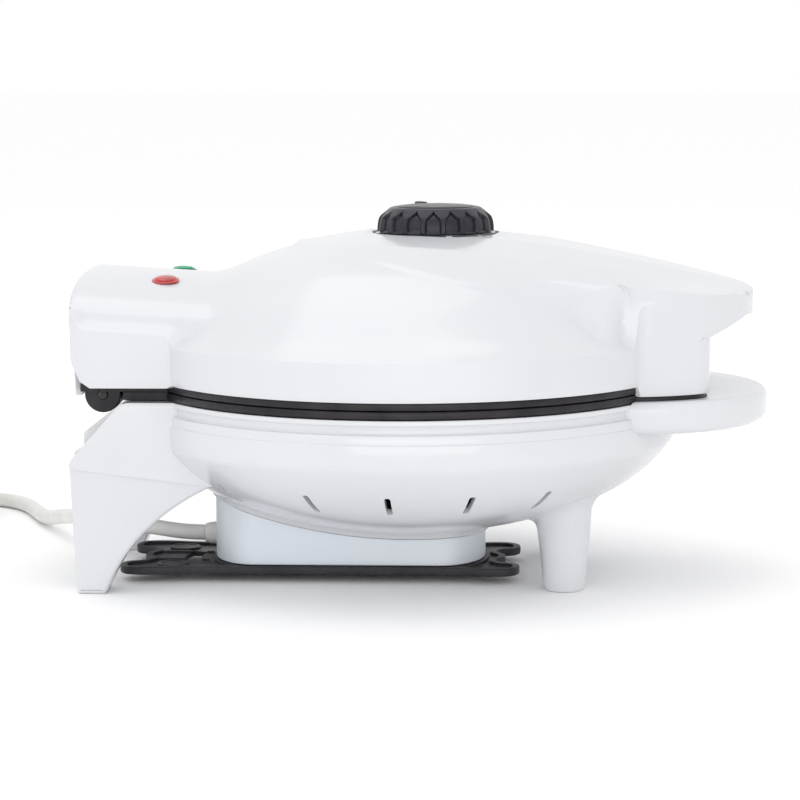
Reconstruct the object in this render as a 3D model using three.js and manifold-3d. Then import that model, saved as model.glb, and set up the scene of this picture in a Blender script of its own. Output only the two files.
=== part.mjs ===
// Donut maker: a clam-shell toaster for seven ring cakes, with a cord store under its bowl.
//
// Millimetres, +Z up. The machine stands on z = 0 with its front handle towards +X and its hinge
// towards -X. Every dimension below is taken from the bowl's own vertical axis, and the outermost
// group moves that axis so that the machine's box is centred on the origin.
import * as THREE from 'three'
import { mergeVertices } from 'three/addons/utils/BufferGeometryUtils.js'
import Module from 'manifold-3d'

const wasm = await Module()
wasm.setup()

// ---- driving dimensions ----
const bowlAxisX = -6.65 // of the bowl's axis in the part's own frame
const wall = 2.5 // moulded plastic
const gap = 0.3 // between pieces that touch
const farOut = 200 // longer than anything that is cut
const roundSteps = 36 // facets of the large turned shapes
const partingZ = 88 // where the two baking plates meet
const hinge = { x: -131, z: 86.4, pinR: 2 }
const rim = { lidR: 117.5, lidZ: 91.5, bandTop: 107.6, bowlR: 116.2, bowlZ: 84.1 }
const back = { halfWidth: 62, rearX: -143, crease: 118, archRise: 20, archPower: 1.75, bottomZ: 90.5 }
const bowl = { floor: 20.5, widening: 0.00225, turnUp: 10.7, reach: 116, power: 9, topR: 117 }
const donut = { count: 6, ringR: 70, coreR: 21, tubeR: 12, bossR: 36, floor: 3.3 }
const plate = { r: 115.9, thick: 3.35 }
const grip = { rootX: 93, noseX: 152, halfWidth: 62, frontX: 131, bottomZ: 87.2 }
const handle = { rootX: 100, tipX: 158.7, halfWidth: 66, low: 71.2, high: 85.2, round: 4 }
const drum = { rearX: -88.6, frontX: 33.4, halfWidth: 28, bottomZ: 7.2, endDepth: 20 }
const tray = { low: 3.4, high: 6.9, rearX: -129, frontX: 49 }
const knob = { x: 11.3, seatZ: 153.2, low: 153.6, high: 166, r: 26, ribs: 18 }
const lamp = { x: -106, y: 28.5, r: 6, barrelR: 4.6, tilt: 0.24 }
const cordR = 3.6
const coil = { x: -263, y: 128, r: 39.6 }
const screw = { headR: 3, headHigh: 1.8, shankR: 1.4, holeR: 1.8, long: 11 }

// ---- shapes ----
const finishes = {
  whiteShell: { color: 0xecedf1, roughness: 0.35, metalness: 0 },
  drumWhite: { color: 0xdee4ec, roughness: 0.5, metalness: 0 },
  blackPlastic: { color: 0x2a282b, roughness: 0.6, metalness: 0 },
  darkCoating: { color: 0x1d1c1e, roughness: 0.45, metalness: 0.3 },
  steel: { color: 0xb8babd, roughness: 0.35, metalness: 1 },
  aluminium: { color: 0xcfd1d4, roughness: 0.45, metalness: 1 },
  element: { color: 0x6f6a66, roughness: 0.6, metalness: 0.8 },
  ceramic: { color: 0xe9e2d2, roughness: 0.8, metalness: 0 },
  redLens: { color: 0xb01518, roughness: 0.15, metalness: 0 },
  greenLens: { color: 0x1e8a3c, roughness: 0.15, metalness: 0 },
  clear: { color: 0xe8e4dc, roughness: 0.3, metalness: 0 },
  cordSheath: { color: 0xe1e2de, roughness: 0.55, metalness: 0 },
}

const turn = degrees => THREE.MathUtils.degToRad(degrees)

function signedVolume(position, index) {
  const [a, b, c] = [new THREE.Vector3(), new THREE.Vector3(), new THREE.Vector3()]
  let sum = 0
  for (let i = 0; i < index.length; i += 3) {
    a.fromBufferAttribute(position, index[i])
    b.fromBufferAttribute(position, index[i + 1])
    c.fromBufferAttribute(position, index[i + 2])
    sum += a.dot(b.cross(c))
  }
  return sum
}

// A closed three.js geometry as a solid that can be cut and joined.
function solid(geometry) {
  const bare = geometry.clone()
  bare.deleteAttribute('normal')
  bare.deleteAttribute('uv')
  const merged = mergeVertices(bare, 1e-4)
  const position = merged.getAttribute('position')
  const index = []
  const source = merged.index.array
  for (let i = 0; i < source.length; i += 3) {
    const [a, b, c] = [source[i], source[i + 1], source[i + 2]]
    if (a !== b && b !== c && c !== a) index.push(a, b, c)
  }
  if (signedVolume(position, index) < 0) index.reverse()
  const mesh = new wasm.Mesh({
    numProp: 3,
    vertProperties: new Float32Array(position.array),
    triVerts: new Uint32Array(index),
  })
  return new wasm.Manifold(mesh)
}

function geometryOf(body) {
  const mesh = body.getMesh()
  const geometry = new THREE.BufferGeometry()
  geometry.setAttribute('position', new THREE.BufferAttribute(new Float32Array(mesh.vertProperties), 3))
  geometry.setIndex(new THREE.BufferAttribute(new Uint32Array(mesh.triVerts), 1))
  return geometry
}

const joined = bodies => bodies.reduce((all, body) => all.add(body))
const without = (body, cutters) => cutters.reduce((rest, cutter) => rest.subtract(cutter), body)
const mirrored = build => joined([1, -1].map(build))

// A profile of [radius, height] pairs turned about a vertical axis at (x, y).
function turned(profile, { x = 0, y = 0, steps = roundSteps } = {}) {
  const geometry = new THREE.LatheGeometry(profile.map(([r, z]) => new THREE.Vector2(r, z)), steps)
  geometry.rotateX(Math.PI / 2)
  geometry.translate(x, y, 0)
  return solid(geometry)
}

const rod = (x, y, r, low, high, steps = 16) =>
  turned([[0, low], [r, low], [r, high], [0, high]], { x, y, steps })

// A rod along Y, centred on (x, z).
function crossRod(x, z, r, y0, y1, steps = 24) {
  const geometry = new THREE.CylinderGeometry(r, r, Math.abs(y1 - y0), steps)
  geometry.translate(x, (y0 + y1) / 2, z)
  return solid(geometry)
}

function block([x0, x1], [y0, y1], [z0, z1]) {
  const geometry = new THREE.BoxGeometry(x1 - x0, y1 - y0, z1 - z0)
  geometry.translate((x0 + x1) / 2, (y0 + y1) / 2, (z0 + z1) / 2)
  return solid(geometry)
}

// A plan outline in X and Y, raised from low to high.
function slab(shape, low, high, curveSegments = 12, bevel = 0) {
  const geometry = new THREE.ExtrudeGeometry(shape, {
    depth: high - low - 2 * bevel,
    curveSegments,
    bevelEnabled: bevel > 0,
    bevelThickness: bevel,
    bevelSize: bevel,
    bevelOffset: -bevel,
    bevelSegments: 1,
  })
  geometry.translate(0, 0, low + bevel)
  return solid(geometry)
}

// A side outline in X and Z, drawn from y0 to y1.
function sideSlab(shape, y0, y1, curveSegments = 12) {
  const geometry = new THREE.ExtrudeGeometry(shape, { depth: y1 - y0, curveSegments, bevelEnabled: false })
  geometry.rotateX(Math.PI / 2)
  geometry.translate(0, y1, 0)
  return solid(geometry)
}

const outline = points => new THREE.Shape(points.map(([a, b]) => new THREE.Vector2(a, b)))

// Sections [y, z] of equal count, one at each x, joined into one closed body.
function lofted(stations) {
  const points = stations.flatMap(({ x, section }) => section.map(([y, z]) => [x, y, z]))
  const count = stations[0].section.length
  const index = []
  for (let s = 0; s + 1 < stations.length; s += 1) {
    for (let i = 0; i < count; i += 1) {
      const [a, b] = [s * count + i, s * count + (i + 1) % count]
      index.push(a, b, b + count, a, b + count, a + count)
    }
  }
  const cap = section => THREE.ShapeUtils.triangulateShape(
    section.map(([y, z]) => new THREE.Vector2(y, z)), [])
  const last = (stations.length - 1) * count
  for (const [a, b, c] of cap(stations[0].section)) index.push(a, c, b)
  for (const [a, b, c] of cap(stations.at(-1).section)) index.push(last + a, last + b, last + c)
  const geometry = new THREE.BufferGeometry()
  geometry.setAttribute('position', new THREE.Float32BufferAttribute(points.flat(), 3))
  geometry.setIndex(index)
  return solid(geometry)
}

// The profile moved inwards by inset, square to its own slope.
function insetProfile(points, inset, side) {
  return points.map(([r, z], i) => {
    const [before, after] = [points[Math.max(i - 1, 0)], points[Math.min(i + 1, points.length - 1)]]
    const [dr, dz] = [after[0] - before[0], after[1] - before[1]]
    const long = Math.hypot(dr, dz)
    return [Math.max(r - inset * Math.abs(dz) / long, 0), z + side * inset * Math.abs(dr) / long]
  })
}

// ---- the baking plates ----
const donutPlaces = [[0, 0]]
for (let i = 0; i < donut.count; i += 1) {
  const angle = turn(i * 360 / donut.count)
  donutPlaces.push([donut.ringR * Math.cos(angle), donut.ringR * Math.sin(angle)])
}

// Half of a ring cake, cut into the plate's face, with the ring's core left standing.
function cakeHollow(x, y, faceZ, side) {
  const profile = [[donut.coreR - donut.tubeR, 1]]
  const steps = 4
  for (let i = 0; i <= steps; i += 1) {
    const angle = Math.PI * i / steps
    profile.push([donut.coreR - donut.tubeR * Math.cos(angle), -donut.tubeR * Math.sin(angle)])
  }
  profile.push([donut.coreR + donut.tubeR, 1], profile[0])
  return turned(profile.map(([r, z]) => [r, faceZ + side * z]), { x, y, steps: 14 })
}

const plateScrews = {
  lower: [[122, 36], [122, -36], [-113, 34], [-113, -34]],
  upper: [[114, 36], [114, -36], [-113, 34], [-113, -34]],
}

// side is 1 for the lower plate, whose face looks up, and -1 for the upper one.
function bakingPlate(side, ears) {
  const face = partingZ - side * gap / 2
  const behind = face - side * plate.thick
  const bossEnd = face - side * (donut.tubeR + donut.floor)
  const span = (a, b) => [Math.min(a, b), Math.max(a, b)]
  const [low, high] = span(face, behind)
  const [bossLow, bossHigh] = span(face - side, bossEnd)
  const bosses = donutPlaces.map(([x, y]) => rod(x, y, donut.bossR, bossLow, bossHigh, 14))
  const hollows = donutPlaces.map(([x, y]) => cakeHollow(x, y, face, side))
  const disc = turned([[0, low], [plate.r - 0.8, low], [plate.r, low + 0.8], [plate.r, high - 0.8],
    [plate.r - 0.8, high], [0, high]])
  return without(joined([disc, ...bosses, ...ears]), hollows)
}

function frontEar(halfWidth, frontX, low, high) {
  return slab(frontPlan(halfWidth, frontX), low, high, 6).intersect(block([96, farOut], [-90, 90], [0, 200]))
}

// The plan of the lid's front: half an ellipse, cut off square at frontX with round corners.
function frontPlan(halfWidth, frontX, reach = grip.noseX - grip.rootX) {
  const shape = new THREE.Shape()
  const corner = 12
  const atFront = halfWidth * Math.sqrt(1 - ((frontX - corner * 0.6 - grip.rootX) / reach) ** 2)
  shape.moveTo(60, -halfWidth)
  shape.lineTo(grip.rootX, -halfWidth)
  const side = new THREE.EllipseCurve(grip.rootX, 0, reach, halfWidth, -Math.PI / 2, 0)
  const points = side.getPoints(16).filter(p => p.x < frontX - corner * 0.6)
  for (const p of points) shape.lineTo(p.x, p.y)
  shape.quadraticCurveTo(frontX, -atFront + corner * 0.4, frontX, -atFront + corner * 1.3)
  shape.lineTo(frontX, atFront - corner * 1.3)
  shape.quadraticCurveTo(frontX, atFront - corner * 0.4, frontX - corner * 0.6, atFront)
  for (const p of points.reverse()) shape.lineTo(p.x, -p.y)
  shape.lineTo(60, halfWidth)
  return shape
}

// Each plate is one casting. It is divided into a hexagon around the middle cake and a sector around
// each outer one, with a hair-thin gap between neighbours.
function plateCells(body) {
  const halfPitch = donut.ringR / 2
  const slope = Math.tan(turn(30))
  const between = gap / 2 / Math.cos(turn(30))
  const hexagon = []
  for (let i = 0; i < 6; i += 1) {
    const r = (halfPitch - gap / 2) / Math.cos(turn(30))
    hexagon.push([r * Math.cos(turn(30 + 60 * i)), r * Math.sin(turn(30 + 60 * i))])
  }
  const near = halfPitch + gap / 2
  const [nearHalf, farHalf] = [near, farOut].map(x => x * slope - between)
  const sector = outline([[near, -nearHalf], [farOut, -farHalf], [farOut, farHalf], [near, nearHalf]])
  const cells = [body.intersect(slab(outline(hexagon), 60, 120))]
  for (let i = 0; i < 6; i += 1) {
    cells.push(body.intersect(slab(sector, 60, 120).rotate([0, 0, 60 * i])))
  }
  return cells
}

function screwHoles(places, low, high) {
  return places.map(([x, y]) => rod(x, y, screw.holeR, low, high, 8))
}

function headRecesses(places, low, high) {
  return places.map(([x, y]) => rod(x, y, screw.headR + gap, low, high, 12))
}

function lowerPlate() {
  const face = partingZ - gap / 2
  const ears = [
    frontEar(61, 129.5, 83.4, 86.9),
    block([-121.5, -90], [-54, 54], [face - plate.thick, face]),
    mirrored(s => {
      const [y0, y1] = [28 * s, 39.4 * s].sort((a, b) => a - b)
      const arm = block([hinge.x, -110], [y0, y1], [face - plate.thick, face])
      return crossRod(hinge.x, hinge.z, 7.5, y0, y1, 20).add(arm)
    }),
  ]
  const front = plateScrews.lower.slice(0, 2)
  const rear = plateScrews.lower.slice(2)
  return without(bakingPlate(1, ears), [
    crossRod(hinge.x, hinge.z, hinge.pinR + gap, -70, 70, 12),
    ...screwHoles(plateScrews.lower, 70, 100),
    ...headRecesses(front, 86.9 - screw.headHigh - 0.2, 95),
    ...headRecesses(rear, face - screw.headHigh - 0.2, 95),
  ])
}

function upperPlate() {
  const face = partingZ + gap / 2
  const ears = [
    frontEar(56, 126, face, face + plate.thick),
    mirrored(s => {
      const [y0, y1] = [40 * s, 54 * s].sort((a, b) => a - b)
      return block([-140, -90], [y0, y1], [face, face + plate.thick])
    }),
    block([-121.5, -90], [-54, 54], [face, face + plate.thick]),
    mirrored(s => {
      const [y0, y1] = [40 * s, 50 * s].sort((a, b) => a - b)
      return crossRod(hinge.x, hinge.z, 7.9, y0, y1, 20)
    }),
  ]
  return without(bakingPlate(-1, ears), [
    crossRod(hinge.x, hinge.z, hinge.pinR + gap, -70, 70, 12),
    ...screwHoles(plateScrews.upper, 80, 100),
    ...headRecesses(plateScrews.upper, 80, face + screw.headHigh + 0.4),
  ])
}

// ---- the lower shell ----
function bowlHeight(r) {
  return bowl.floor + bowl.widening * r * r + bowl.turnUp * (r / bowl.reach) ** bowl.power
}

function bowlSide(inset) {
  const radii = [0, 36, 62, 82, 96, 107, 114, bowl.topR]
  const outside = radii.map(r => [r, bowlHeight(r)])
  return insetProfile([...outside, [117.6, 66], [117.6, 73.5]], inset, 1)
}

function bowlOuter() {
  return turned([...bowlSide(0), [117.2, 78], [115.4, 78.4], [rim.bowlR, rim.bowlZ], [0, rim.bowlZ]])
}

function bowlInner() {
  const side = bowlSide(wall)
  return turned([...side, [113, 74], [113, 90], [0, 90]])
}

// One side outline serves the legs' outside and, inset, their hollow.
function legOutline(inset) {
  const shape = new THREE.Shape()
  shape.moveTo(-60, rim.bowlZ - inset)
  shape.lineTo(-121.2 + 0.45 * inset, rim.bowlZ - inset)
  shape.lineTo(-144.6 + inset, 58.4 - 0.45 * inset)
  shape.lineTo(-142.6 + inset, 1.5 + inset)
  shape.lineTo(-141 + inset, inset)
  shape.lineTo(-131.5 - inset, inset)
  shape.lineTo(-129.7 - inset, 1.3 + inset)
  shape.quadraticCurveTo(-117 - 0.9 * inset, 33 + 0.5 * inset, -79 - 0.4 * inset, 49.5 + inset)
  shape.lineTo(-60, 54 + inset)
  return shape
}

// Between the legs the rear face steps down in louvres, clear of the opening lid.
function louvreOutline(inset) {
  return outline([
    [-60, rim.bowlZ - inset], [-121.2, rim.bowlZ - inset],
    [-125.2 + 0.6 * inset, 76.5 - 0.5 * inset], [-127.5 + inset, 71.4 - inset],
    [-139.2 + inset, 70.7 - inset], [-139.2 + inset, 64], [-143.6 + inset, 61.6 - inset],
    [-143.6 + inset, 56], [-145.4 + inset, 54.6 - 0.4 * inset], [-145.4 + inset, 50 + inset],
    [-90, 48 + inset], [-60, 52 + inset],
  ])
}

function legTaper(inset) {
  const [top, bottom] = [back.halfWidth + 0.3 - inset, 58.4 - inset]
  return lofted([-farOut, 20].map(x => ({
    x, section: [[-bottom, -1], [bottom, -1], [top, 62], [top, 100], [-top, 100], [-top, 62]],
  })))
}

function legs(inset) {
  const [inner, outer] = [42 + inset, back.halfWidth - inset]
  const both = mirrored(s => {
    const [y0, y1] = [s * inner, s * outer].sort((a, b) => a - b)
    return sideSlab(legOutline(inset), y0, y1, 6)
  })
  return both.intersect(legTaper(inset))
}

function rearDeck(inset) {
  const half = 52.3 - inset
  const edge = mirrored(s => {
    const [y0, y1] = [s * (half - 1), s * (back.halfWidth - inset)].sort((a, b) => a - b)
    return sideSlab(legOutline(inset), y0, y1, 6)
  })
  const above = block([-farOut, farOut], [-90, 90], [48 + inset, 100])
  return joined([sideSlab(louvreOutline(inset), -half, half), edge.intersect(above)])
}

function frontFeet(inset) {
  return mirrored(s => turned([[0, inset], [7.9 - inset, inset], [9.1 - inset, 1.6 + inset],
    [10.9 - inset, 20], [12 - inset, 31], [13.4 - inset, 38], [13.4 - inset, 46], [0, 46]],
  { x: 68.7, y: 41 * s, steps: 10 }))
}

function handlePlan(inset) {
  const shape = new THREE.Shape()
  const [reach, half] = [handle.tipX - handle.rootX - inset, handle.halfWidth - inset]
  shape.moveTo(60, -half)
  shape.lineTo(handle.rootX, -half)
  shape.absellipse(handle.rootX, 0, reach, half, -Math.PI / 2, Math.PI / 2, false, 0)
  shape.lineTo(60, half)
  return shape
}

// Slots that follow the bowl's slope, spread along both flanks.
function ventSlots() {
  const vent = { r: 100, long: 15.7, wide: 2.6, angles: [54, 73.2, 92.4, 111.6, 138] }
  const slope = Math.atan((bowlHeight(vent.r + 1) - bowlHeight(vent.r - 1)) / 2)
  const shape = new THREE.Shape()
  const straight = (vent.long - vent.wide) / 2
  shape.absarc(straight, 0, vent.wide / 2, -Math.PI / 2, Math.PI / 2)
  shape.absarc(-straight, 0, vent.wide / 2, Math.PI / 2, 1.5 * Math.PI)
  return vent.angles.flatMap(angle => [angle, -angle]).map(angle => {
    const geometry = new THREE.ExtrudeGeometry(shape, { depth: 12, curveSegments: 1, bevelEnabled: false })
    geometry.translate(0, 0, -6)
    geometry.rotateY(-slope)
    geometry.translate(vent.r, 0, bowlHeight(vent.r))
    geometry.rotateZ(turn(angle))
    return solid(geometry)
  })
}

// The drum's plan: straight flanks and half-elliptical ends, grown outwards by grow.
function drumPlan(grow) {
  const half = drum.halfWidth + grow
  const depth = drum.endDepth + grow
  const [rear, front] = [drum.rearX + drum.endDepth, drum.frontX - drum.endDepth]
  const shape = new THREE.Shape()
  shape.moveTo(rear, -half)
  shape.lineTo(front, -half)
  shape.absellipse(front, 0, depth, half, -Math.PI / 2, Math.PI / 2, false, 0)
  shape.lineTo(rear, half)
  shape.absellipse(rear, 0, depth, half, Math.PI / 2, 1.5 * Math.PI, false, 0)
  return shape
}

// A low collar under the bowl, which the drum's top edge follows.
function drumCollar(outside) {
  const lowered = outside.translate([0, 0, -3])
  const ring = slab(drumPlan(1.6), 0, 44, 5).subtract(slab(drumPlan(-2.2), -1, 45, 5))
  return ring.intersect(lowered).subtract(bowlInner())
}

function lowerPosts() {
  return joined([
    ...plateScrews.lower.slice(0, 2).map(([x, y]) => rod(x, y, 4.5, 72.4, 83.1, 12)),
    ...plateScrews.lower.slice(2).map(([x, y]) => rod(x, y, 4.5, 49.4, rim.bowlZ, 12)),
  ])
}

function lowerShell() {
  const outsideBowl = bowlOuter()
  const handleOut = slab(handlePlan(0), handle.low, handle.high, 8, handle.round)
  const handleIn = slab(handlePlan(wall), handle.low + wall, 80.4, 8)
  const outside = joined([outsideBowl, legs(0), rearDeck(0), frontFeet(0), handleOut])
  const inside = joined([bowlInner(), legs(wall), rearDeck(wall), frontFeet(wall), handleIn])
  const deckMouth = block([-119, -80], [-52, 52], [70, 100])
  const hollow = without(outside, [inside, deckMouth])
  const kept = joined([hollow, lowerPosts(), drumCollar(outsideBowl)])
  const earRecess = slab(frontPlan(61.4, 130), 83.1, 100, 8).intersect(
    block([95, farOut], [-90, 90], [0, 200]))
  const rearSlots = mirrored(s => block([-farOut, -138], [s * 20 - 8, s * 20 + 8], [65.6, 69]))
  return without(kept, [
    earRecess,
    rearSlots,
    rod(0, 0, rim.bowlR, rim.bowlZ, 100, roundSteps),
    ...ventSlots(),
    ...plateScrews.lower.map(([x, y]) => rod(x, y, screw.shankR + gap, 74, 100, 8)),
    rod(-40, 0, 6, 0, 40, 12),
  ])
}

// ---- the cord store ----
const trayScrews = [[-62, 17], [-62, -17], [10, 17], [10, -17]]

function cordDrum() {
  const under = bowlOuter().translate([0, 0, -3 - gap])
  const tall = slab(drumPlan(0), drum.bottomZ, 44, 6)
  const core = slab(drumPlan(-wall), drum.bottomZ - 1, 45, 5)
  const posts = joined(trayScrews.map(([x, y]) =>
    rod(x, y, 4, drum.bottomZ, 44, 10).add(
      block([x - 1, x + 1], [Math.min(y, Math.sign(y) * 27), Math.max(y, Math.sign(y) * 27)],
        [drum.bottomZ, 40]))))
  const body = tall.subtract(core).add(posts.intersect(tall))
  const frontRelief = block([22, 60], [-60, 60], [21, 60])
  return without(body, [
    under, frontRelief, cordHole(),
    ...trayScrews.map(([x, y]) => rod(x, y, screw.shankR + gap, 0, 17, 8)),
  ])
}

// Plan of the tray that keeps the wound cord on the drum: four horns with a notch between each pair.
function trayPlan(inset) {
  const half = [[tray.frontX - 6.2, 0], [tray.frontX - 7, 4], [tray.frontX - 10.5, 8.5], [tray.frontX - 9.5, 13],
    [tray.frontX - 3, 16], [tray.frontX, 21], [tray.frontX - 0.6, 27], [tray.frontX - 5, 32], [tray.frontX - 11, 33],
    [tray.frontX - 19, 31], [tray.frontX - 26, 30.2], [tray.rearX + 34, 30.2], [tray.rearX + 25, 30.8],
    [tray.rearX + 15, 33], [tray.rearX + 6, 32.4], [tray.rearX + 0.8, 28.5], [tray.rearX, 22], [tray.rearX + 3, 16.5],
    [tray.rearX + 10, 13.5], [tray.rearX + 11.5, 9], [tray.rearX + 8.2, 4.5], [tray.rearX + 7.4, 0]]
  const whole = [...half, ...half.slice(1, -1).reverse().map(([x, y]) => [x, -y])]
  return outline(inset ? insetPolygon(whole, inset) : whole)
}

// Each corner moves inwards along the middle of its angle.
function insetPolygon(points, inset) {
  return points.map(([x, y], i) => {
    const [px, py] = points[(i + points.length - 1) % points.length]
    const [nx, ny] = points[(i + 1) % points.length]
    const [ax, ay] = [x - px, y - py].map(d => d / Math.hypot(x - px, y - py))
    const [bx, by] = [nx - x, ny - y].map(d => d / Math.hypot(nx - x, ny - y))
    const [mx, my] = [-(ay + by), ax + bx]
    const long = Math.hypot(mx, my)
    return [x + mx / long * inset, y + my / long * inset]
  })
}

function cordTray() {
  const body = slab(trayPlan(0), tray.low, tray.high, 3)
  const pocket = slab(trayPlan(3), tray.high - 1.2, 12, 3)
  const seat = slab(drumPlan(1.5), tray.low, tray.high, 6)
  const bosses = joined([-20, 20].map(y => rod(-106, y, 7, tray.low, tray.high - 0.2, 14)))
  const slot = new THREE.Shape()
  slot.absellipse(-70, 0, 29, 36, turn(160), turn(200), false, 0)
  slot.absellipse(-70, 0, 23.5, 30, turn(200), turn(160), true, 0)
  return without(joined([body.subtract(pocket), seat, bosses]), [
    slab(slot, 0, 20, 4),
    ...trayScrews.map(([x, y]) => rod(x, y, screw.holeR, 0, 20, 8)),
    ...trayScrews.map(([x, y]) => rod(x, y, screw.headR + gap, 0, tray.low + screw.headHigh + 0.6, 12)),
  ])
}

// ---- the lid ----
function domeSide(inset) {
  const curve = new THREE.SplineCurve([[0, 154.2], [30, 152.3], [56, 146.6], [76.6, 138.6], [92, 128.5],
    [106.5, 115.6], [115.3, 109.6], [rim.lidR, rim.bandTop]].map(([r, z]) => new THREE.Vector2(r, z)))
  return insetProfile(curve.getPoints(8).map(p => [p.x, p.y]), inset, -1)
}

function dome(inset) {
  const side = domeSide(inset)
  const edge = rim.lidR - inset
  return turned([...side, [edge, rim.bandTop - 1.5], [edge, rim.lidZ - inset * 3], [0, rim.lidZ - inset * 3]])
}

// The raised fan that runs from behind the knob to the nose of the grip. Each station gives the
// crown's height and the [half-width, height] of the crease, of the edge and of the flank's foot.
const fan = [
  { x: -50, crown: 149.8, crease: [12, 149.3], edge: [19, 147.4], foot: [22, 146.2] },
  { x: -12, crown: 154.8, crease: [46, 150.2], edge: [60, 145.3], foot: [63, 143.6] },
  { x: 25, crown: 154.6, crease: [49, 147.9], edge: [65, 142.5], foot: [78, 136.2] },
  { x: 60, crown: 151.3, crease: [44, 143.6], edge: [60, 136.7], foot: [71, 127.3] },
  { x: 72, crown: 149.2, crease: [42, 142.2], edge: [61, 135.6], foot: [68.5, 121.5] },
  { x: 93, crown: 145, crease: [40, 139.2], edge: [61.6, 133.2], foot: [62, 111] },
  { x: 105, crown: 142.4, crease: [38, 136.8], edge: [60.2, 132.2], foot: [60.7, 108] },
  { x: 117, crown: 139.5, crease: [34, 134.4], edge: [56.2, 130.9], foot: [56.6, 106] },
  { x: 128, crown: 136.8, crease: [29, 132.7], edge: [49.4, 129.5], foot: [49.9, 106] },
  { x: 137, crown: 134.4, crease: [23, 131.4], edge: [40.8, 128.3], foot: [41.3, 106] },
  { x: 144, crown: 132.4, crease: [16, 130.5], edge: [30.6, 127.6], foot: [31, 106] },
  { x: 149, crown: 130.6, crease: [10, 129.5], edge: [18.6, 127.2], foot: [19, 106] },
  { x: 152, crown: 127.6, crease: [3, 127.2], edge: [6, 126.4], foot: [6, 106] },
]

function fanSection({ crown, crease, edge, foot }, inset, baseZ) {
  const shift = ([y, z]) => [Math.max(y - inset, 0.5), z - inset]
  const half = [
    [crease[0] / 2, crown - (crown - crease[1]) * 0.27 - inset],
    shift(crease),
    [Math.max(edge[0] - inset * 0.7, 1), edge[1] - inset * 0.8],
    [Math.max(foot[0] - inset, 1.2), foot[1]],
    [Math.max(foot[0] - inset, 1.2), baseZ],
  ]
  const other = half.map(([y, z]) => [-y, z]).reverse()
  return [[0, crown - inset], ...half, ...other].reverse()
}

function fanSolid(inset) {
  const rear = fan.filter(s => s.x <= grip.rootX)
  const front = fan.filter(s => s.x >= grip.rootX)
  const baseZ = 84
  const place = (s, low) => ({
    x: s.x === fan[0].x ? s.x + inset : s.x - (s.x > 140 ? inset : 0),
    section: fanSection(s, inset, low),
  })
  const rearBody = lofted(rear.map(s => place(s, 100)))
  const frontBody = lofted(front.map(s => place(s, baseZ)))
  const blockPart = frontBody.intersect(slab(frontPlan(grip.halfWidth - inset, grip.frontX - inset),
    grip.bottomZ - inset * 2, 140, 8))
  return joined([rearBody, frontBody.intersect(aboveUnderside(0)), blockPart])
}

// Everything above the grip's sloping underside, raised by lift.
function aboveUnderside(lift) {
  return sideSlab(outline([[60, 108 + lift], [grip.frontX, 108 + lift], [151, 119 + lift],
    [170, 119 + lift], [170, 200], [60, 200]]), -90, 90)
}

// The box at the back: upright flanks, a crease, and an arched top that falls slightly forwards.
function backBox(inset, lowZ) {
  const half = back.halfWidth - inset
  const stations = [[back.rearX + inset, 3.2, 1.2], [-60, -2.8, -3]].map(([x, flank, top]) => {
    const section = [[-half, lowZ], [half, lowZ]]
    const steps = 8
    for (let i = 0; i <= steps; i += 1) {
      const along = Math.sin(Math.PI * (0.5 - i / steps))
      const fall = (1 - Math.abs(along) ** back.archPower) ** (1 / back.archPower)
      section.push([along * half, back.crease + flank + (back.archRise + top - flank) * fall - inset])
    }
    return { x, section }
  })
  const body = lofted(stations)
  const side = new THREE.Shape()
  const round = 11
  side.moveTo(back.rearX + inset, 80)
  side.lineTo(back.rearX + inset, 139 - inset - round)
  side.quadraticCurveTo(back.rearX + inset + 0.8, 139.3 - inset, back.rearX + inset + round, 139.4 - inset)
  side.lineTo(-60, 160)
  side.lineTo(-60, 80)
  return body.intersect(sideSlab(side, -90, 90, 6))
}

function lampCutter(s, r, low, high) {
  const geometry = new THREE.CylinderGeometry(r, r, high - low, 16)
  geometry.rotateX(Math.PI / 2)
  geometry.translate(0, 0, (high + low) / 2)
  return solid(placeLamp(geometry, s))
}

// Lamps stand square to the arched top, one on each side of its crown.
const lampSurfaceZ = 134.2
function placeLamp(geometry, s) {
  geometry.rotateX(-s * lamp.tilt)
  geometry.translate(lamp.x, s * lamp.y, lampSurfaceZ)
  return geometry
}

function lidBosses() {
  return joined([
    ...plateScrews.upper.slice(0, 2).map(([x, y]) => rod(x, y, 4.5, rim.lidZ + gap, 160, 12)),
    ...plateScrews.upper.slice(2).map(([x, y]) => rod(x, y, 4.5, rim.lidZ + gap, 160, 12)),
  ])
}

function lidShell() {
  const flap = block([back.rearX, back.rearX + wall], [-back.halfWidth + 1, back.halfWidth - 1], [86, 92])
  const flapEnds = mirrored(s => {
    const [y0, y1] = [s * 51.8, s * 80].sort((a, b) => a - b)
    return sideSlab(outline([[-150, 84], [-150, 101], [-142.7, 101], [-138.2, 91.2], [-138.2, 84]]), y0, y1)
  })
  const outside = joined([dome(0), backBox(0, back.bottomZ), fanSolid(0)])
  const inside = joined([dome(wall), backBox(wall, 80), fanSolid(wall), frontMouth()])
  const shell = outside.subtract(inside)
  const bosses = lidBosses().intersect(outside)
  return without(joined([shell, flap, bosses]), [
    flapEnds,
    rod(0, 0, plate.r + gap, 80, rim.lidZ, roundSteps),
    rod(knob.x, 0, 27, knob.seatZ, 170, 24),
    rod(knob.x, 0, 4.2, 140, 170, 12),
    lampCutter(1, lamp.barrelR + gap, -12, 12),
    lampCutter(-1, lamp.barrelR + gap, -12, 12),
    ...plateScrews.upper.map(([x, y]) => rod(x, y, screw.shankR + gap, 80, 104, 8)),
  ])
}

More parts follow.
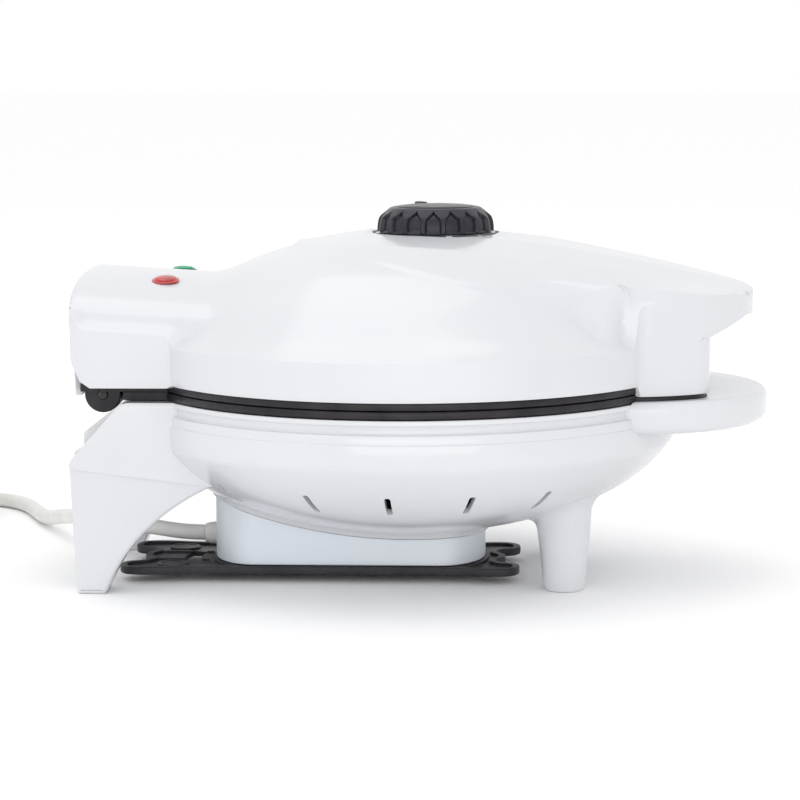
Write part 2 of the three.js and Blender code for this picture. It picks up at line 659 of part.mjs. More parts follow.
// The moulding is divided at the block's front wall into the lid proper and the nose of the grip.
function lidParts() {
  const whole = lidShell()
  const split = grip.frontX + gap / 2
  const sides = [[-farOut, split - gap / 2], [split + gap / 2, farOut]]
  const [main, nose] = sides.map(x => whole.intersect(block(x, [-90, 90], [0, 200])))
  return [main, nose.subtract(gripOpening(wall))]
}

// The room inside the nose, open downwards.
function gripOpening(inset) {
  return lofted(fan.filter(s => s.x >= grip.rootX).map(s => ({
    x: s.x - (s.x > 140 ? inset : 0), section: fanSection(s, inset, 84),
  })))
}

// The way from the dome's hollow into the block under the grip.
function frontMouth() {
  return slab(frontPlan(grip.halfWidth - wall, grip.frontX - wall), 80, 106, 8).intersect(
    block([80, farOut], [-57, 57], [0, 200]))
}

function gripUnderside() {
  const inner = gripOpening(wall + gap)
  const sheet = aboveUnderside(0.2).subtract(aboveUnderside(2.4))
  return inner.intersect(sheet).intersect(block([grip.frontX + 2 * gap, farOut], [-90, 90], [0, 200]))
}

function knobBody() {
  const plan = new THREE.Shape()
  const perRib = 4
  for (let i = 0; i < knob.ribs * perRib; i += 1) {
    const r = i % perRib < 2 ? knob.r : knob.r - 1.3
    const angle = turn((i + (i % 2) * 0.35) * 360 / (knob.ribs * perRib))
    plan[i ? 'lineTo' : 'moveTo'](r * Math.cos(angle), r * Math.sin(angle))
  }
  const fluted = slab(plan, knob.low, knob.high, 4)
  const profile = turned([[0, knob.low], [knob.r, knob.low], [knob.r - 1, 160.7], [18.5, 164.8],
    [10, 165.7], [0, knob.high]], { steps: 18 })
  const pointer = block([14, 23], [-2, 2], [162, 165.9])
  const angle = 107
  const body = fluted.intersect(profile).add(pointer.rotate([0, 0, angle]))
  const hollow = turned([[6, knob.low - 1], [knob.r - 3.4, knob.low - 1], [knob.r - 4.4, 160], [6, 160],
    [6, knob.low - 1]], { steps: 18 })
  const bore = rod(0, 0, 3.3, knob.low - 1, 162, 12)
  return without(body, [hollow, bore]).translate([knob.x, 0, 0])
}

// ---- heating and control ----
function heater(z) {
  const tube = 3.25
  const profile = []
  const steps = 6
  for (let i = 0; i <= steps; i += 1) {
    const angle = 2 * Math.PI * i / steps
    profile.push([donut.ringR + tube * Math.cos(angle), z + tube * Math.sin(angle)])
  }
  profile[steps] = profile[0]
  const ends = [9, -9].map(y => {
    const geometry = new THREE.CylinderGeometry(2.6, 2.6, 24, 8)
    geometry.rotateZ(Math.PI / 2)
    geometry.translate(-donut.ringR - 9, y, z)
    return solid(geometry)
  })
  const notch = block([-90, -60], [-5, 5], [z - 5, z + 5])
  return joined([turned(profile, { steps: 28 }).subtract(notch), ...ends])
}

// A thin dish between the element and the plastic, open in the middle.
function reflector(z, side) {
  const thin = 0.8
  const profile = [[24, z], [88, z], [97, z - side * 5], [97, z - side * 5 + thin], [88, z + thin],
    [24, z + thin], [24, z]]
  return turned(profile, { steps: 28 })
}

function thermostat() {
  const base = block([knob.x - 16, knob.x + 16], [-12, 12], [103.9, 105.2])
  return joined([base, rod(knob.x, 0, 10.5, 105, 126, 16)])
}

const shaft = () => rod(knob.x, 0, 3, 126.4, 161.4, 12)

function thermalFuse() {
  return crossRod(-24, 106.6, 2.4, -8, 8, 12)
}

function lampLens(s) {
  const profile = [[0, -9], [lamp.barrelR, -9], [lamp.barrelR, 0.4], [lamp.r, 0.4], [lamp.r, 0.9],
    [5, 1.9], [2.6, 2.3], [0, 2.4]]
  const geometry = new THREE.LatheGeometry(profile.map(([r, z]) => new THREE.Vector2(r, z)), 16)
  geometry.rotateX(Math.PI / 2)
  return solid(placeLamp(geometry, s))
}

function lampHolder(s) {
  const geometry = new THREE.CylinderGeometry(3.2, 3.2, 16, 12)
  geometry.rotateX(Math.PI / 2)
  geometry.translate(0, 0, -17.6)
  return solid(placeLamp(geometry, s))
}

function terminalBlock() {
  const body = block([-66, -54], [-16, 16], [36, 47])
  const wells = [-10, 0, 10].map(y => rod(-60, y, 2.6, 40, 60, 8))
  return without(body, wells)
}

function hingePin(s) {
  const [y0, y1] = [s * 27.4, s * 51].sort((a, b) => a - b)
  return crossRod(hinge.x, hinge.z, hinge.pinR, y0, y1, 12)
}

// A countersunk screw with its head at headZ, pointing down for side 1 and up for side -1.
function screwBody(x, y, headZ, side) {
  const profile = [[0, 0], [screw.headR, 0], [screw.headR, -0.5], [screw.shankR, -screw.headHigh],
    [screw.shankR, -screw.long], [0, -screw.long - 1]]
  const body = turned(profile.map(([r, z]) => [r, headZ + side * z]), { x, y, steps: 8 })
  const slot = 0.5
  const [low, high] = side > 0 ? [headZ - 0.9, headZ + 1] : [headZ - 1, headZ + 0.9]
  return without(body, [block([x - 2, x + 2], [y - slot, y + slot], [low, high]),
    block([x - slot, x + slot], [y - 2, y + 2], [low, high])])
}

// ---- the mains lead ----
// Where the lead leaves the drum, and the way it runs back between the legs to its coil.
const cordExit = { x: -85.2, y: 12, z: 14.4, heading: 176 }
const glandLong = 10.2
const cordRoute = [
  [-95.8, 12.8, 14.4], [-106, 14, 14.7], [-118, 18.6, 15.4], [-130, 25, 15.8], [-142, 33, 15.6],
  [-152.5, 42.5, 15], [-161, 53, 14], [-168.5, 65.5, 12.2], [-176, 80, 9.4], [-183.5, 95, 6.4],
  [-190, 110, 4.3], [-196.5, 126, 3.7], [-203.5, 141.5, 3.65], [-213, 154.5, 3.65],
  [-225.5, 163, 3.65], [-236.5, 166.3, 3.65],
]
const cordTail = [[-302.5, 101.5, 18], [-301, 92, 18.1], [-298.2, 83, 18.4], [-295, 73.8, 18.6]]
const plugAxis = { x: -294.8, y: 73.2, z: 18.6, heading: -72 }

function tubeAlong(points, steps) {
  const path = new THREE.CatmullRomCurve3(points.map(p => new THREE.Vector3(...p)))
  const section = new THREE.Shape()
  section.absarc(0, 0, cordR, 0, 2 * Math.PI)
  return solid(new THREE.ExtrudeGeometry(section, { steps, extrudePath: path, curveSegments: 4 }))
}

// A shape turned about the X axis, pointing along -X from its own origin.
function alongX(profile, { x, y, z }, heading = 180, steps = 20) {
  const geometry = new THREE.LatheGeometry(profile.map(([r, s]) => new THREE.Vector2(r, s)), steps)
  geometry.rotateZ(-Math.PI / 2)
  geometry.rotateZ(turn(heading))
  geometry.translate(x, y, z)
  return solid(geometry)
}

const cordHole = () => alongX([[0, -6], [4.9, -6], [4.9, 8], [0, 8]], cordExit, cordExit.heading, 12)

function cordGland() {
  return alongX([[0, -15], [4.2, -15], [4.6, -10.5], [6.6, -10.5], [6.6, -8.5], [4.6, -8.5], [4.6, 2.4],
    [6, 2.4], [5.8, 4.6], [4.4, glandLong], [0, glandLong]], cordExit, cordExit.heading, 12)
}

function cordCoil() {
  const [inner, outer, high] = [coil.r - cordR - 0.2, coil.r + cordR + 0.2, cordR * 6 + 0.4]
  return turned([[inner, 0.05], [outer, 0.05], [outer, high], [inner, high], [inner, 0.05]],
    { x: coil.x, y: coil.y, steps: 24 })
}

function plugBody() {
  const body = alongX([[0, 0], [4.6, 0], [5.6, 22], [10, 27], [14.5, 33], [17, 44], [18.5, 52], [18.5, 66],
    [0, 66]], plugAxis, plugAxis.heading, 16)
  return without(body, pinPlaces(56, 90, 2.7))
}

function pinPlaces(from, to, r) {
  return [-9.5, 9.5].map(side => {
    const geometry = new THREE.CylinderGeometry(r, r, to - from, 8)
    geometry.rotateZ(-Math.PI / 2)
    geometry.translate((from + to) / 2, 0, side)
    geometry.rotateZ(turn(plugAxis.heading))
    geometry.translate(plugAxis.x, plugAxis.y, plugAxis.z)
    return solid(geometry)
  })
}

// ---- the scene ----
const machine = new THREE.Group()
machine.position.x = bowlAxisX
const donutMaker = new THREE.Group()
donutMaker.add(machine)

function add(name, body, finish) {
  const mesh = new THREE.Mesh(geometryOf(body), new THREE.MeshStandardMaterial(finishes[finish]))
  mesh.name = name
  machine.add(mesh)
}

add('lower_shell', lowerShell(), 'whiteShell')
for (const [i, cell] of plateCells(lowerPlate()).entries()) add(`lower_plate_${i}`, cell, 'darkCoating')
add('lower_element', heater(partingZ - donut.tubeR - donut.floor - 4), 'element')
add('lower_reflector', reflector(58, -1), 'aluminium')
add('terminal_block', terminalBlock(), 'ceramic')
add('cord_drum', cordDrum(), 'drumWhite')
add('cord_tray', cordTray(), 'blackPlastic')
for (const [i, [x, y]] of trayScrews.entries()) {
  add(`tray_screw_${i + 1}`, screwBody(x, y, tray.low + gap, -1), 'steel')
}
for (const [i, [x, y]] of plateScrews.lower.entries()) {
  const headZ = x > 0 ? 86.7 : partingZ - gap / 2 - 0.2
  add(`lower_plate_screw_${i + 1}`, screwBody(x, y, headZ, 1), 'steel')
}
add('hinge_pin_near', hingePin(-1), 'steel')
add('hinge_pin_far', hingePin(1), 'steel')

const [lidMain, lidNose] = lidParts()
add('lid_shell', lidMain, 'whiteShell')
add('grip_shell', lidNose, 'whiteShell')
add('grip_underside', gripUnderside(), 'whiteShell')
for (const [i, cell] of plateCells(upperPlate()).entries()) add(`upper_plate_${i}`, cell, 'darkCoating')
add('upper_element', heater(partingZ + donut.tubeR + donut.floor + 4), 'element')
add('upper_reflector', reflector(114, 1), 'aluminium')
for (const [i, [x, y]] of plateScrews.upper.entries()) {
  add(`upper_plate_screw_${i + 1}`, screwBody(x, y, partingZ + gap / 2 + 0.2, -1), 'steel')
}
add('thermostat', thermostat(), 'ceramic')
add('thermal_fuse', thermalFuse(), 'ceramic')
add('lamp_lens_red', lampLens(-1), 'redLens')
add('lamp_lens_green', lampLens(1), 'greenLens')
add('lamp_bulb_red', lampHolder(-1), 'clear')
add('lamp_bulb_green', lampHolder(1), 'clear')

add('thermostat_knob', knobBody(), 'blackPlastic')
add('thermostat_shaft', shaft(), 'steel')

add('cord_gland', cordGland(), 'cordSheath')
add('cord_run', tubeAlong(cordRoute, 44), 'cordSheath')
add('cord_coil', cordCoil(), 'cordSheath')
add('cord_tail', tubeAlong(cordTail, 8), 'cordSheath')
add('plug_body', plugBody(), 'cordSheath')
for (const [i, pin] of pinPlaces(56.4, 84, 2.4).entries()) add(`plug_pin_${i + 1}`, pin, 'steel')

export default donutMaker
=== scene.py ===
import math

import bmesh
import bpy
import numpy as np
from mathutils import Matrix, Vector


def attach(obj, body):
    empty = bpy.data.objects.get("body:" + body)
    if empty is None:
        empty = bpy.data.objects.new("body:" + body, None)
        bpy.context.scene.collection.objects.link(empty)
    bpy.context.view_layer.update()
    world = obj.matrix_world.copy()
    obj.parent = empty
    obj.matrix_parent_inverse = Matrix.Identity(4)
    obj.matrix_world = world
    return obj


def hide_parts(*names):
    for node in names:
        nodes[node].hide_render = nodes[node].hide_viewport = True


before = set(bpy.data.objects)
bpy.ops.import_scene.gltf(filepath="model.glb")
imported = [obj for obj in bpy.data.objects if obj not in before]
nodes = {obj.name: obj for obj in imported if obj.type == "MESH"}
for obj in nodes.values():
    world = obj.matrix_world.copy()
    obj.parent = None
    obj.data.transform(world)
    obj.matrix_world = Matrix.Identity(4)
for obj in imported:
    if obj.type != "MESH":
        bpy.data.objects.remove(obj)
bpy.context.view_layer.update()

# Lengths below are in millimetres from the bowl's own axis unless a note says otherwise.
bowlAxisX = -6.65 # of the bowl's axis in the frame
millimetre = 0.001
onAxis = 1e-4 # radius that stands for a point on an axis


def toFrame(points):
    placed = np.array(points, float).reshape(-1, 3).copy()
    placed[:, 0] += bowlAxisX
    return placed * millimetre


# Camera
cameraSettings = {
    "place": (60.63, -1138.32, 227.42),
    "target": (-5.007, 0.0, 77.658),
    "lens": 115.0,
    "sensor": 36.0,
    "rollDegrees": -0.305,
}


def makeCamera(s):
    data = bpy.data.cameras.new("camera")
    data.lens, data.sensor_width = s["lens"], s["sensor"]
    data.clip_start, data.clip_end = 0.05, 50
    camera = bpy.data.objects.new("camera", data)
    bpy.context.scene.collection.objects.link(camera)
    place, target = (Vector(p) for p in toFrame([s["place"], s["target"]]))
    aim = (target - place).to_track_quat("-Z", "Y").to_matrix()
    roll = Matrix.Rotation(math.radians(s["rollDegrees"]), 3, "Z")
    camera.rotation_mode = "QUATERNION"
    camera.location, camera.rotation_quaternion = place, (aim @ roll).to_quaternion()
    bpy.context.scene.camera = camera


makeCamera(cameraSettings)
print("camera placed")


# Finishes
# Every finish mottles its colour and roughness a little and carries a fine bump, all in object space.
finishes = {
    "shellWhite": {"colour": (0.65, 0.658, 0.69), "second": (0.675, 0.683, 0.713), "patch": 14, "rough": (0.2, 0.27),
                   "grain": 420, "bump": 0.02, "coat": 0.35},
    "drumWhite": {"colour": (0.78, 0.83, 0.89), "second": (0.82, 0.86, 0.91), "patch": 18, "rough": (0.34, 0.42),
                  "grain": 1500, "bump": 0.05, "coat": 0.0},
    "knobBlack": {"colour": (0.013, 0.011, 0.02), "second": (0.02, 0.018, 0.03), "patch": 60, "rough": (0.28, 0.36),
                  "grain": 2600, "bump": 0.1, "specular": 0.36},
    "trayBlack": {"colour": (0.024, 0.022, 0.027), "second": (0.036, 0.033, 0.039), "patch": 40, "rough": (0.42, 0.55),
                  "grain": 2200, "bump": 0.16, "specular": 0.3},
    "bakingCoat": {"colour": (0.012, 0.010, 0.014), "second": (0.024, 0.021, 0.026), "patch": 90, "rough": (0.3, 0.42),
                   "grain": 3200, "bump": 0.14, "specular": 0.3},
    "screwSteel": {"colour": (0.55, 0.55, 0.56), "second": (0.68, 0.68, 0.67), "patch": 300, "rough": (0.28, 0.42),
                   "grain": 3800, "bump": 0.05, "metal": 1.0},
    "sheetAluminium": {"colour": (0.72, 0.73, 0.75), "second": (0.80, 0.81, 0.82), "patch": 60, "rough": (0.32, 0.5),
                       "grain": 1800, "bump": 0.06, "metal": 1.0},
    "elementSteel": {"colour": (0.17, 0.15, 0.14), "second": (0.34, 0.27, 0.22), "patch": 45, "rough": (0.4, 0.6),
                     "grain": 2400, "bump": 0.1, "metal": 1.0},
    "ceramicCream": {"colour": (0.72, 0.67, 0.57), "second": (0.80, 0.76, 0.67), "patch": 120, "rough": (0.6, 0.8),
                     "grain": 2600, "bump": 0.18},
    "lensRed": {"colour": (0.34, 0.002, 0.006), "second": (0.5, 0.006, 0.01), "patch": 160, "rough": (0.06, 0.12),
                "grain": 700, "bump": 0.02, "coat": 0.5},
    "lensGreen": {"colour": (0.0, 0.30, 0.13), "second": (0.01, 0.42, 0.2), "patch": 160, "rough": (0.06, 0.12),
                  "grain": 700, "bump": 0.02, "coat": 0.6},
    "bulbClear": {"colour": (0.86, 0.84, 0.8), "second": (0.93, 0.9, 0.84), "patch": 200, "rough": (0.08, 0.16),
                  "grain": 900, "bump": 0.02, "coat": 0.3},
    "cordSheath": {"colour": (0.70, 0.70, 0.68), "second": (0.76, 0.76, 0.735), "patch": 90, "rough": (0.4, 0.52),
                   "grain": 2400, "bump": 0.1},
    "pinBlack": {"colour": (0.03, 0.028, 0.03), "second": (0.06, 0.055, 0.055), "patch": 200, "rough": (0.35, 0.5),
                 "grain": 3800, "bump": 0.05, "metal": 0.6, "specular": 0.3},
    "dialGrey": {"colour": (0.02, 0.034, 0.036), "second": (0.035, 0.05, 0.052), "patch": 300, "rough": (0.4, 0.5),
                 "grain": 2600, "bump": 0.05},
    "tieBlack": {"colour": (0.02, 0.02, 0.02), "second": (0.04, 0.04, 0.04), "patch": 500, "rough": (0.5, 0.7),
                 "grain": 3000, "bump": 0.2},
}


def noiseNode(tree, vector, scale, detail):
    noise = tree.nodes.new("ShaderNodeTexNoise")
    noise.inputs["Scale"].default_value = scale
    noise.inputs["Detail"].default_value = detail
    tree.links.new(vector, noise.inputs["Vector"])
    return noise.outputs["Fac"]


def makeFinish(name, s):
    material = bpy.data.materials.new(name)
    material.use_nodes = True
    tree = material.node_tree
    shader = tree.nodes["Principled BSDF"]
    shader.inputs["Metallic"].default_value = s.get("metal", 0.0)
    shader.inputs["Coat Weight"].default_value = s.get("coat", 0.0)
    shader.inputs["Specular IOR Level"].default_value = s.get("specular", 0.5)
    shader.inputs["Coat Roughness"].default_value = 0.08
    objectSpace = tree.nodes.new("ShaderNodeTexCoord").outputs["Object"]
    ramp = tree.nodes.new("ShaderNodeValToRGB")
    ramp.color_ramp.elements[0].position, ramp.color_ramp.elements[1].position = 0.35, 0.65
    ramp.color_ramp.elements[0].color = (*s["colour"], 1)
    ramp.color_ramp.elements[1].color = (*s["second"], 1)
    patches = noiseNode(tree, objectSpace, s["patch"], 3)
    tree.links.new(patches, ramp.inputs["Fac"])
    tree.links.new(ramp.outputs["Color"], shader.inputs["Base Color"])
    spread = tree.nodes.new("ShaderNodeMapRange")
    spread.inputs["From Min"].default_value, spread.inputs["From Max"].default_value = 0.3, 0.7
    spread.inputs["To Min"].default_value, spread.inputs["To Max"].default_value = s["rough"]
    tree.links.new(noiseNode(tree, objectSpace, s["patch"] * 2.3, 2), spread.inputs["Value"])
    tree.links.new(spread.outputs["Result"], shader.inputs["Roughness"])
    bump = tree.nodes.new("ShaderNodeBump")
    bump.inputs["Strength"].default_value = s["bump"]
    bump.inputs["Distance"].default_value = 0.0004
    tree.links.new(noiseNode(tree, objectSpace, s["grain"], 2), bump.inputs["Height"])
    tree.links.new(bump.outputs["Normal"], shader.inputs["Normal"])
    return material


finish = {name: makeFinish(name, s) for name, s in finishes.items()}
print("finishes made")


# Mesh tools
def newPiece(name, points, faces, finishName, inFrame=False):
    mesh = bpy.data.meshes.new(name)
    mesh.from_pydata((points if inFrame else toFrame(points)).tolist(), [], faces)
    piece = bpy.data.objects.new(name, mesh)
    bpy.context.scene.collection.objects.link(piece)
    mesh.materials.append(finish[finishName])
    closeSeams(piece)
    return piece


def closeSeams(piece, mergeDistance=2e-6):
    shape = bmesh.new()
    shape.from_mesh(piece.data)
    bmesh.ops.remove_doubles(shape, verts=shape.verts, dist=mergeDistance)
    bmesh.ops.dissolve_degenerate(shape, edges=shape.edges, dist=1e-7)
    if shape.calc_volume(signed=True) < 0:
        bmesh.ops.reverse_faces(shape, faces=shape.faces)
    shape.to_mesh(piece.data)
    shape.free()


def smoothBy(piece, degrees):
    mesh = piece.data
    mesh.polygons.foreach_set("use_smooth", [True] * len(mesh.polygons))
    mesh.set_sharp_from_angle(angle=math.radians(degrees))
    mesh.update()


def stackRings(rings, closeAround=True, caps=(True, True)):
    rings = np.array(rings, float)
    count, around = rings.shape[:2]
    points, faces = rings.reshape(-1, 3), []
    last = around if closeAround else around - 1
    for i in range(count - 1):
        for j in range(last):
            k = (j + 1) % around
            faces.append((i * around + j, i * around + k, (i + 1) * around + k, (i + 1) * around + j))
    if caps[0]:
        faces.append(tuple(range(around))[::-1])
    if caps[1]:
        faces.append(tuple(range((count - 1) * around, count * around)))
    return points, faces


def fullTurn(steps):
    return np.linspace(0, 2 * math.pi, steps, endpoint=False)


def levelRing(radius, z, angles, x=0.0, y=0.0):
    return np.stack([x + radius * np.cos(angles), y + radius * np.sin(angles), z * np.ones(len(angles))], -1)


def turnedShape(profile, steps, x=0.0, y=0.0):
    # The profile of (radius, height) starts and ends on the axis.
    angles = fullTurn(steps)
    return stackRings([levelRing(max(r, onAxis), z, angles, x, y) for r, z in profile])


def turnedPiece(name, profile, steps, finishName, x=0.0, y=0.0):
    return newPiece(name, *turnedShape(profile, steps, x, y), finishName)


def closedTurnedShape(profile, steps, x=0.0, y=0.0):
    angles = fullTurn(steps)
    return stackRings([levelRing(r, z, angles, x, y) for r, z in [*profile, profile[0]]], caps=(False, False))


def closedTurnedPiece(name, profile, steps, finishName, x=0.0, y=0.0):
    # The profile is a loop that stays clear of the axis.
    return newPiece(name, *closedTurnedShape(profile, steps, x, y), finishName)


def rodPiece(name, radius, low, high, finishName, x=0.0, y=0.0, steps=32):
    return turnedPiece(name, [(0, low), (radius, low), (radius, high), (0, high)], steps, finishName, x, y)


def bothSides(inner, outer):
    # The same stretch of Y on the near and the far side, each as (low, high).
    return [sorted((side * inner, side * outer)) for side in (-1, 1)]


def roundCorners(corners, steps=6):
    # Each corner is (a, b, radius), and is replaced by a curve that leaves its sides smoothly.
    line, count = [], len(corners)
    for i, (a, b, radius) in enumerate(corners):
        here = np.array((a, b), float)
        if not radius:
            line.append(here)
            continue
        before = np.array(corners[i - 1][:2], float) - here
        after = np.array(corners[(i + 1) % count][:2], float) - here
        start = here + before * min(radius / np.linalg.norm(before), 0.49)
        end = here + after * min(radius / np.linalg.norm(after), 0.49)
        for t in np.linspace(0, 1, steps):
            line.append((1 - t) ** 2 * start + 2 * t * (1 - t) * here + t * t * end)
    return np.array(line)


def insetLine(line, distance):
    before, after = np.roll(line, 1, 0), np.roll(line, -1, 0)
    area = np.sum(line[:, 0] * after[:, 1] - after[:, 0] * line[:, 1])
    first, second = line - before, after - line
    first = first / np.maximum(np.linalg.norm(first, axis=1, keepdims=True), 1e-9)
    second = second / np.maximum(np.linalg.norm(second, axis=1, keepdims=True), 1e-9)
    normals = np.stack([-(first + second)[:, 1], (first + second)[:, 0]], -1) * (1 if area > 0 else -1)
    normals = normals / np.maximum(np.linalg.norm(normals, axis=1, keepdims=True), 1e-9)
    lean = np.clip(np.abs(np.sum(normals * np.stack([-first[:, 1], first[:, 0]], -1), 1)), 0.5, 1)
    return line + normals * (distance / lean)[:, None]


def roundedLevels(low, high, roundLow, roundHigh, steps=5):
    # (level, inset) pairs that give an upright wall quarter-round edges.
    levels = []
    for t in np.linspace(0, math.pi / 2, steps) if roundLow else [math.pi / 2]:
        levels.append((low + roundLow * (1 - math.sin(t)) if roundLow else low, roundLow * (1 - math.cos(t))))
    levels = [(z, d) for z, d in levels][::-1]
    levels = sorted(levels)
    top = []
    for t in np.linspace(0, math.pi / 2, steps) if roundHigh else [0]:
        top.append((high - roundHigh * (1 - math.sin(t)), roundHigh * (1 - math.cos(t))))
    return levels + sorted(top)


def slabPiece(name, line, low, high, finishName, roundLow=0.0, roundHigh=0.0, steps=5):
    rings = []
    for z, inset in roundedLevels(low, high, roundLow, roundHigh, steps):
        edge = insetLine(line, inset) if inset else line
        rings.append(np.column_stack([edge, np.full(len(edge), z)]))
    return newPiece(name, *stackRings(rings), finishName)


def sideSlabPiece(name, line, y0, y1, finishName):
    rings = [np.column_stack([line[:, 0], np.full(len(line), y), line[:, 1]]) for y in (y0, y1)]
    return newPiece(name, *stackRings(rings), finishName)


def blockPiece(name, low, high, finishName):
    (x0, y0, z0), (x1, y1, z1) = low, high
    ring = [(x0, y0), (x1, y0), (x1, y1), (x0, y1)]
    return newPiece(name, *stackRings([[(x, y, z) for x, y in ring] for z in (z0, z1)]), finishName)


def asPlainMesh(piece, name=None):
    graph = bpy.context.evaluated_depsgraph_get()
    mesh = bpy.data.meshes.new_from_object(piece.evaluated_get(graph))
    piece.modifiers.clear()
    old = piece.data
    piece.data = mesh
    bpy.data.meshes.remove(old)
    if name:
        piece.name = mesh.name = name
    return piece


def remove(*objects):
    for each in objects:
        bpy.data.objects.remove(each)


def combine(piece, others, operation):
    # One solid is joined with, or cut by, each of the others.
    for other in others:
        modifier = piece.modifiers.new("combine", "BOOLEAN")
        modifier.operation, modifier.solver, modifier.object = operation, "MANIFOLD", other
    asPlainMesh(piece)
    remove(*others)
    return piece


# Node trees for what repeats
def repeatTree(name, cuts):
    # Copies of one shape around an upright axis, kept as they are or cut out of the body.
    tree = bpy.data.node_groups.new(name, "GeometryNodeTree")
    face = tree.interface
    face.new_socket("Body", in_out="INPUT", socket_type="NodeSocketGeometry")
    for label, kind in (("Shape", "Object"), ("Count", "Int"), ("Ring Radius", "Float"), ("Centre", "Vector"),
                        ("Start Angle", "Float"), ("Step Angle", "Float"), ("Finish", "Material")):
        face.new_socket(label, in_out="INPUT", socket_type="NodeSocket" + kind)
    face.new_socket("Body", in_out="OUTPUT", socket_type="NodeSocketGeometry")
    add, link = tree.nodes.new, tree.links.new
    given, result = add("NodeGroupInput"), add("NodeGroupOutput")
    places, shape = add("GeometryNodePoints"), add("GeometryNodeObjectInfo")
    copies = add("GeometryNodeInstanceOnPoints")
    link(given.outputs["Count"], places.inputs["Count"])
    link(given.outputs["Centre"], places.inputs["Position"])
    link(given.outputs["Shape"], shape.inputs["Object"])
    angle = add("ShaderNodeMath")
    angle.operation = "MULTIPLY_ADD"
    link(add("GeometryNodeInputIndex").outputs[0], angle.inputs[0])
    link(given.outputs["Step Angle"], angle.inputs[1])
    link(given.outputs["Start Angle"], angle.inputs[2])
    turn, outwards = add("ShaderNodeCombineXYZ"), add("ShaderNodeCombineXYZ")
    link(angle.outputs[0], turn.inputs["Z"])
    link(given.outputs["Ring Radius"], outwards.inputs["X"])
    link(places.outputs[0], copies.inputs["Points"])
    link(shape.outputs["Geometry"], copies.inputs["Instance"])
    link(turn.outputs[0], copies.inputs["Rotation"])
    shift = add("GeometryNodeTranslateInstances")
    link(copies.outputs[0], shift.inputs["Instances"])
    link(outwards.outputs[0], shift.inputs["Translation"])
    solid = add("GeometryNodeRealizeInstances")
    link(shift.outputs[0], solid.inputs["Geometry"])
    last = solid.outputs[0]
    if cuts:
        cut, whole = add("GeometryNodeMeshBoolean"), add("GeometryNodeRealizeInstances")
        cut.operation, cut.solver = "DIFFERENCE", "MANIFOLD"
        link(given.outputs["Body"], cut.inputs[0])
        link(last, cut.inputs[1])
        link(cut.outputs[0], whole.inputs["Geometry"])
        last = whole.outputs[0]
    paint = add("GeometryNodeSetMaterial")
    link(last, paint.inputs["Geometry"])
    link(given.outputs["Finish"], paint.inputs["Material"])
    link(paint.outputs[0], result.inputs[0])
    return tree


cutTree = repeatTree("cutAroundRing", True)
copyTree = repeatTree("copyAroundRing", False)


def repeat(piece, tree, shape, count, finishName, ringRadius=0.0, centre=(0, 0, 0), start=0.0, step=None):
    # Lengths in millimetres and angles in degrees. The centre is measured from the bowl's axis.
    modifier = piece.modifiers.new("repeat", "NODES")
    modifier.node_group = tree
    values = {
        "Shape": shape, "Count": count, "Ring Radius": ringRadius * millimetre,
        "Centre": tuple(toFrame([centre])[0]), "Start Angle": math.radians(start),
        "Step Angle": math.radians(360 / count if step is None else step), "Finish": finish[finishName],
    }
    for socket in tree.interface.items_tree:
        if socket.in_out == "INPUT" and socket.name in values:
            modifier[socket.identifier] = values[socket.name]
    return piece


def atOrigin(name, points, faces, finishName):
    # A shape to be repeated, drawn about its own origin.
    return newPiece(name, np.array(points, float) * millimetre, faces, finishName, inFrame=True)


# Curves
def smoothCurve(knots, flatStart=False):
    xs, ys = np.array(knots, float).T
    slopes = np.gradient(ys, xs)
    if flatStart:
        slopes[0] = 0

    def at(x):
        x = np.asarray(x, float)
        i = np.clip(np.searchsorted(xs, x) - 1, 0, len(xs) - 2)
        span = xs[i + 1] - xs[i]
        t = np.clip((x - xs[i]) / span, 0, 1)
        return ((1 + 2 * t) * (1 - t) ** 2 * ys[i] + t * (1 - t) ** 2 * span * slopes[i]
                + t * t * (3 - 2 * t) * ys[i + 1] + t * t * (t - 1) * span * slopes[i + 1])

    return at


def smoothMax(a, b, width):
    near = np.clip(width - np.abs(a - b), 0, None) / width
    return np.maximum(a, b) + near * near * width / 4


def smoothMin(a, b, width):
    return -smoothMax(-a, -b, width)


def ease(low, high, x):
    t = np.clip((x - low) / (high - low), 0, 1)
    return t * t * (3 - 2 * t)


# The mains lead
leadSettings = {
    "radius": 3.6,
    "exit": (-85.2, 12.0, 14.4), "exitHeading": 176.0, "reliefLong": 10.2,
    "route": [(-106, 14, 14.7), (-118, 18.6, 15.4), (-130, 25, 15.8), (-142, 33, 15.6), (-152.5, 42.5, 15),
              (-161, 53, 14), (-168.5, 65.5, 12.2), (-176, 80, 9.4), (-183.5, 95, 6.4), (-190, 110, 4.3),
              (-196.5, 126, 3.7), (-203.5, 141.5, 3.65), (-213, 154.5, 3.65), (-225.5, 163, 3.65),
              (-236.5, 166.3, 3.65), (-250, 167.5, 3.8)],
    "coilCentre": (-263.0, 128.0), "coilRadius": 39.6, "turns": 2.25, "pointsEachTurn": 20,
    "firstLevel": 4.5, "pitch": 7.25,
    "tail": [(-302.5, 113, 20.2), (-302.5, 101.5, 19.2), (-301, 92, 18.7), (-298.2, 83, 18.6), (-295.2, 74.2, 18.6)],
}


def leadPoints(s):
    heading = math.radians(s["exitHeading"])
    x, y, z = s["exit"]
    out = s["reliefLong"] + 0.2
    start = (x + out * math.cos(heading), y + out * math.sin(heading), z)
    points = [start, *s["route"]]
    (cx, cy), count = s["coilCentre"], round(s["turns"] * s["pointsEachTurn"])
    for i in range(count + 1):
        part = i / count
        angle = math.radians(90 + 360 * s["turns"] * part)
        points.append((cx + s["coilRadius"] * math.cos(angle), cy + s["coilRadius"] * math.sin(angle),
                       s["firstLevel"] + s["pitch"] * s["turns"] * part))
    return points + s["tail"]


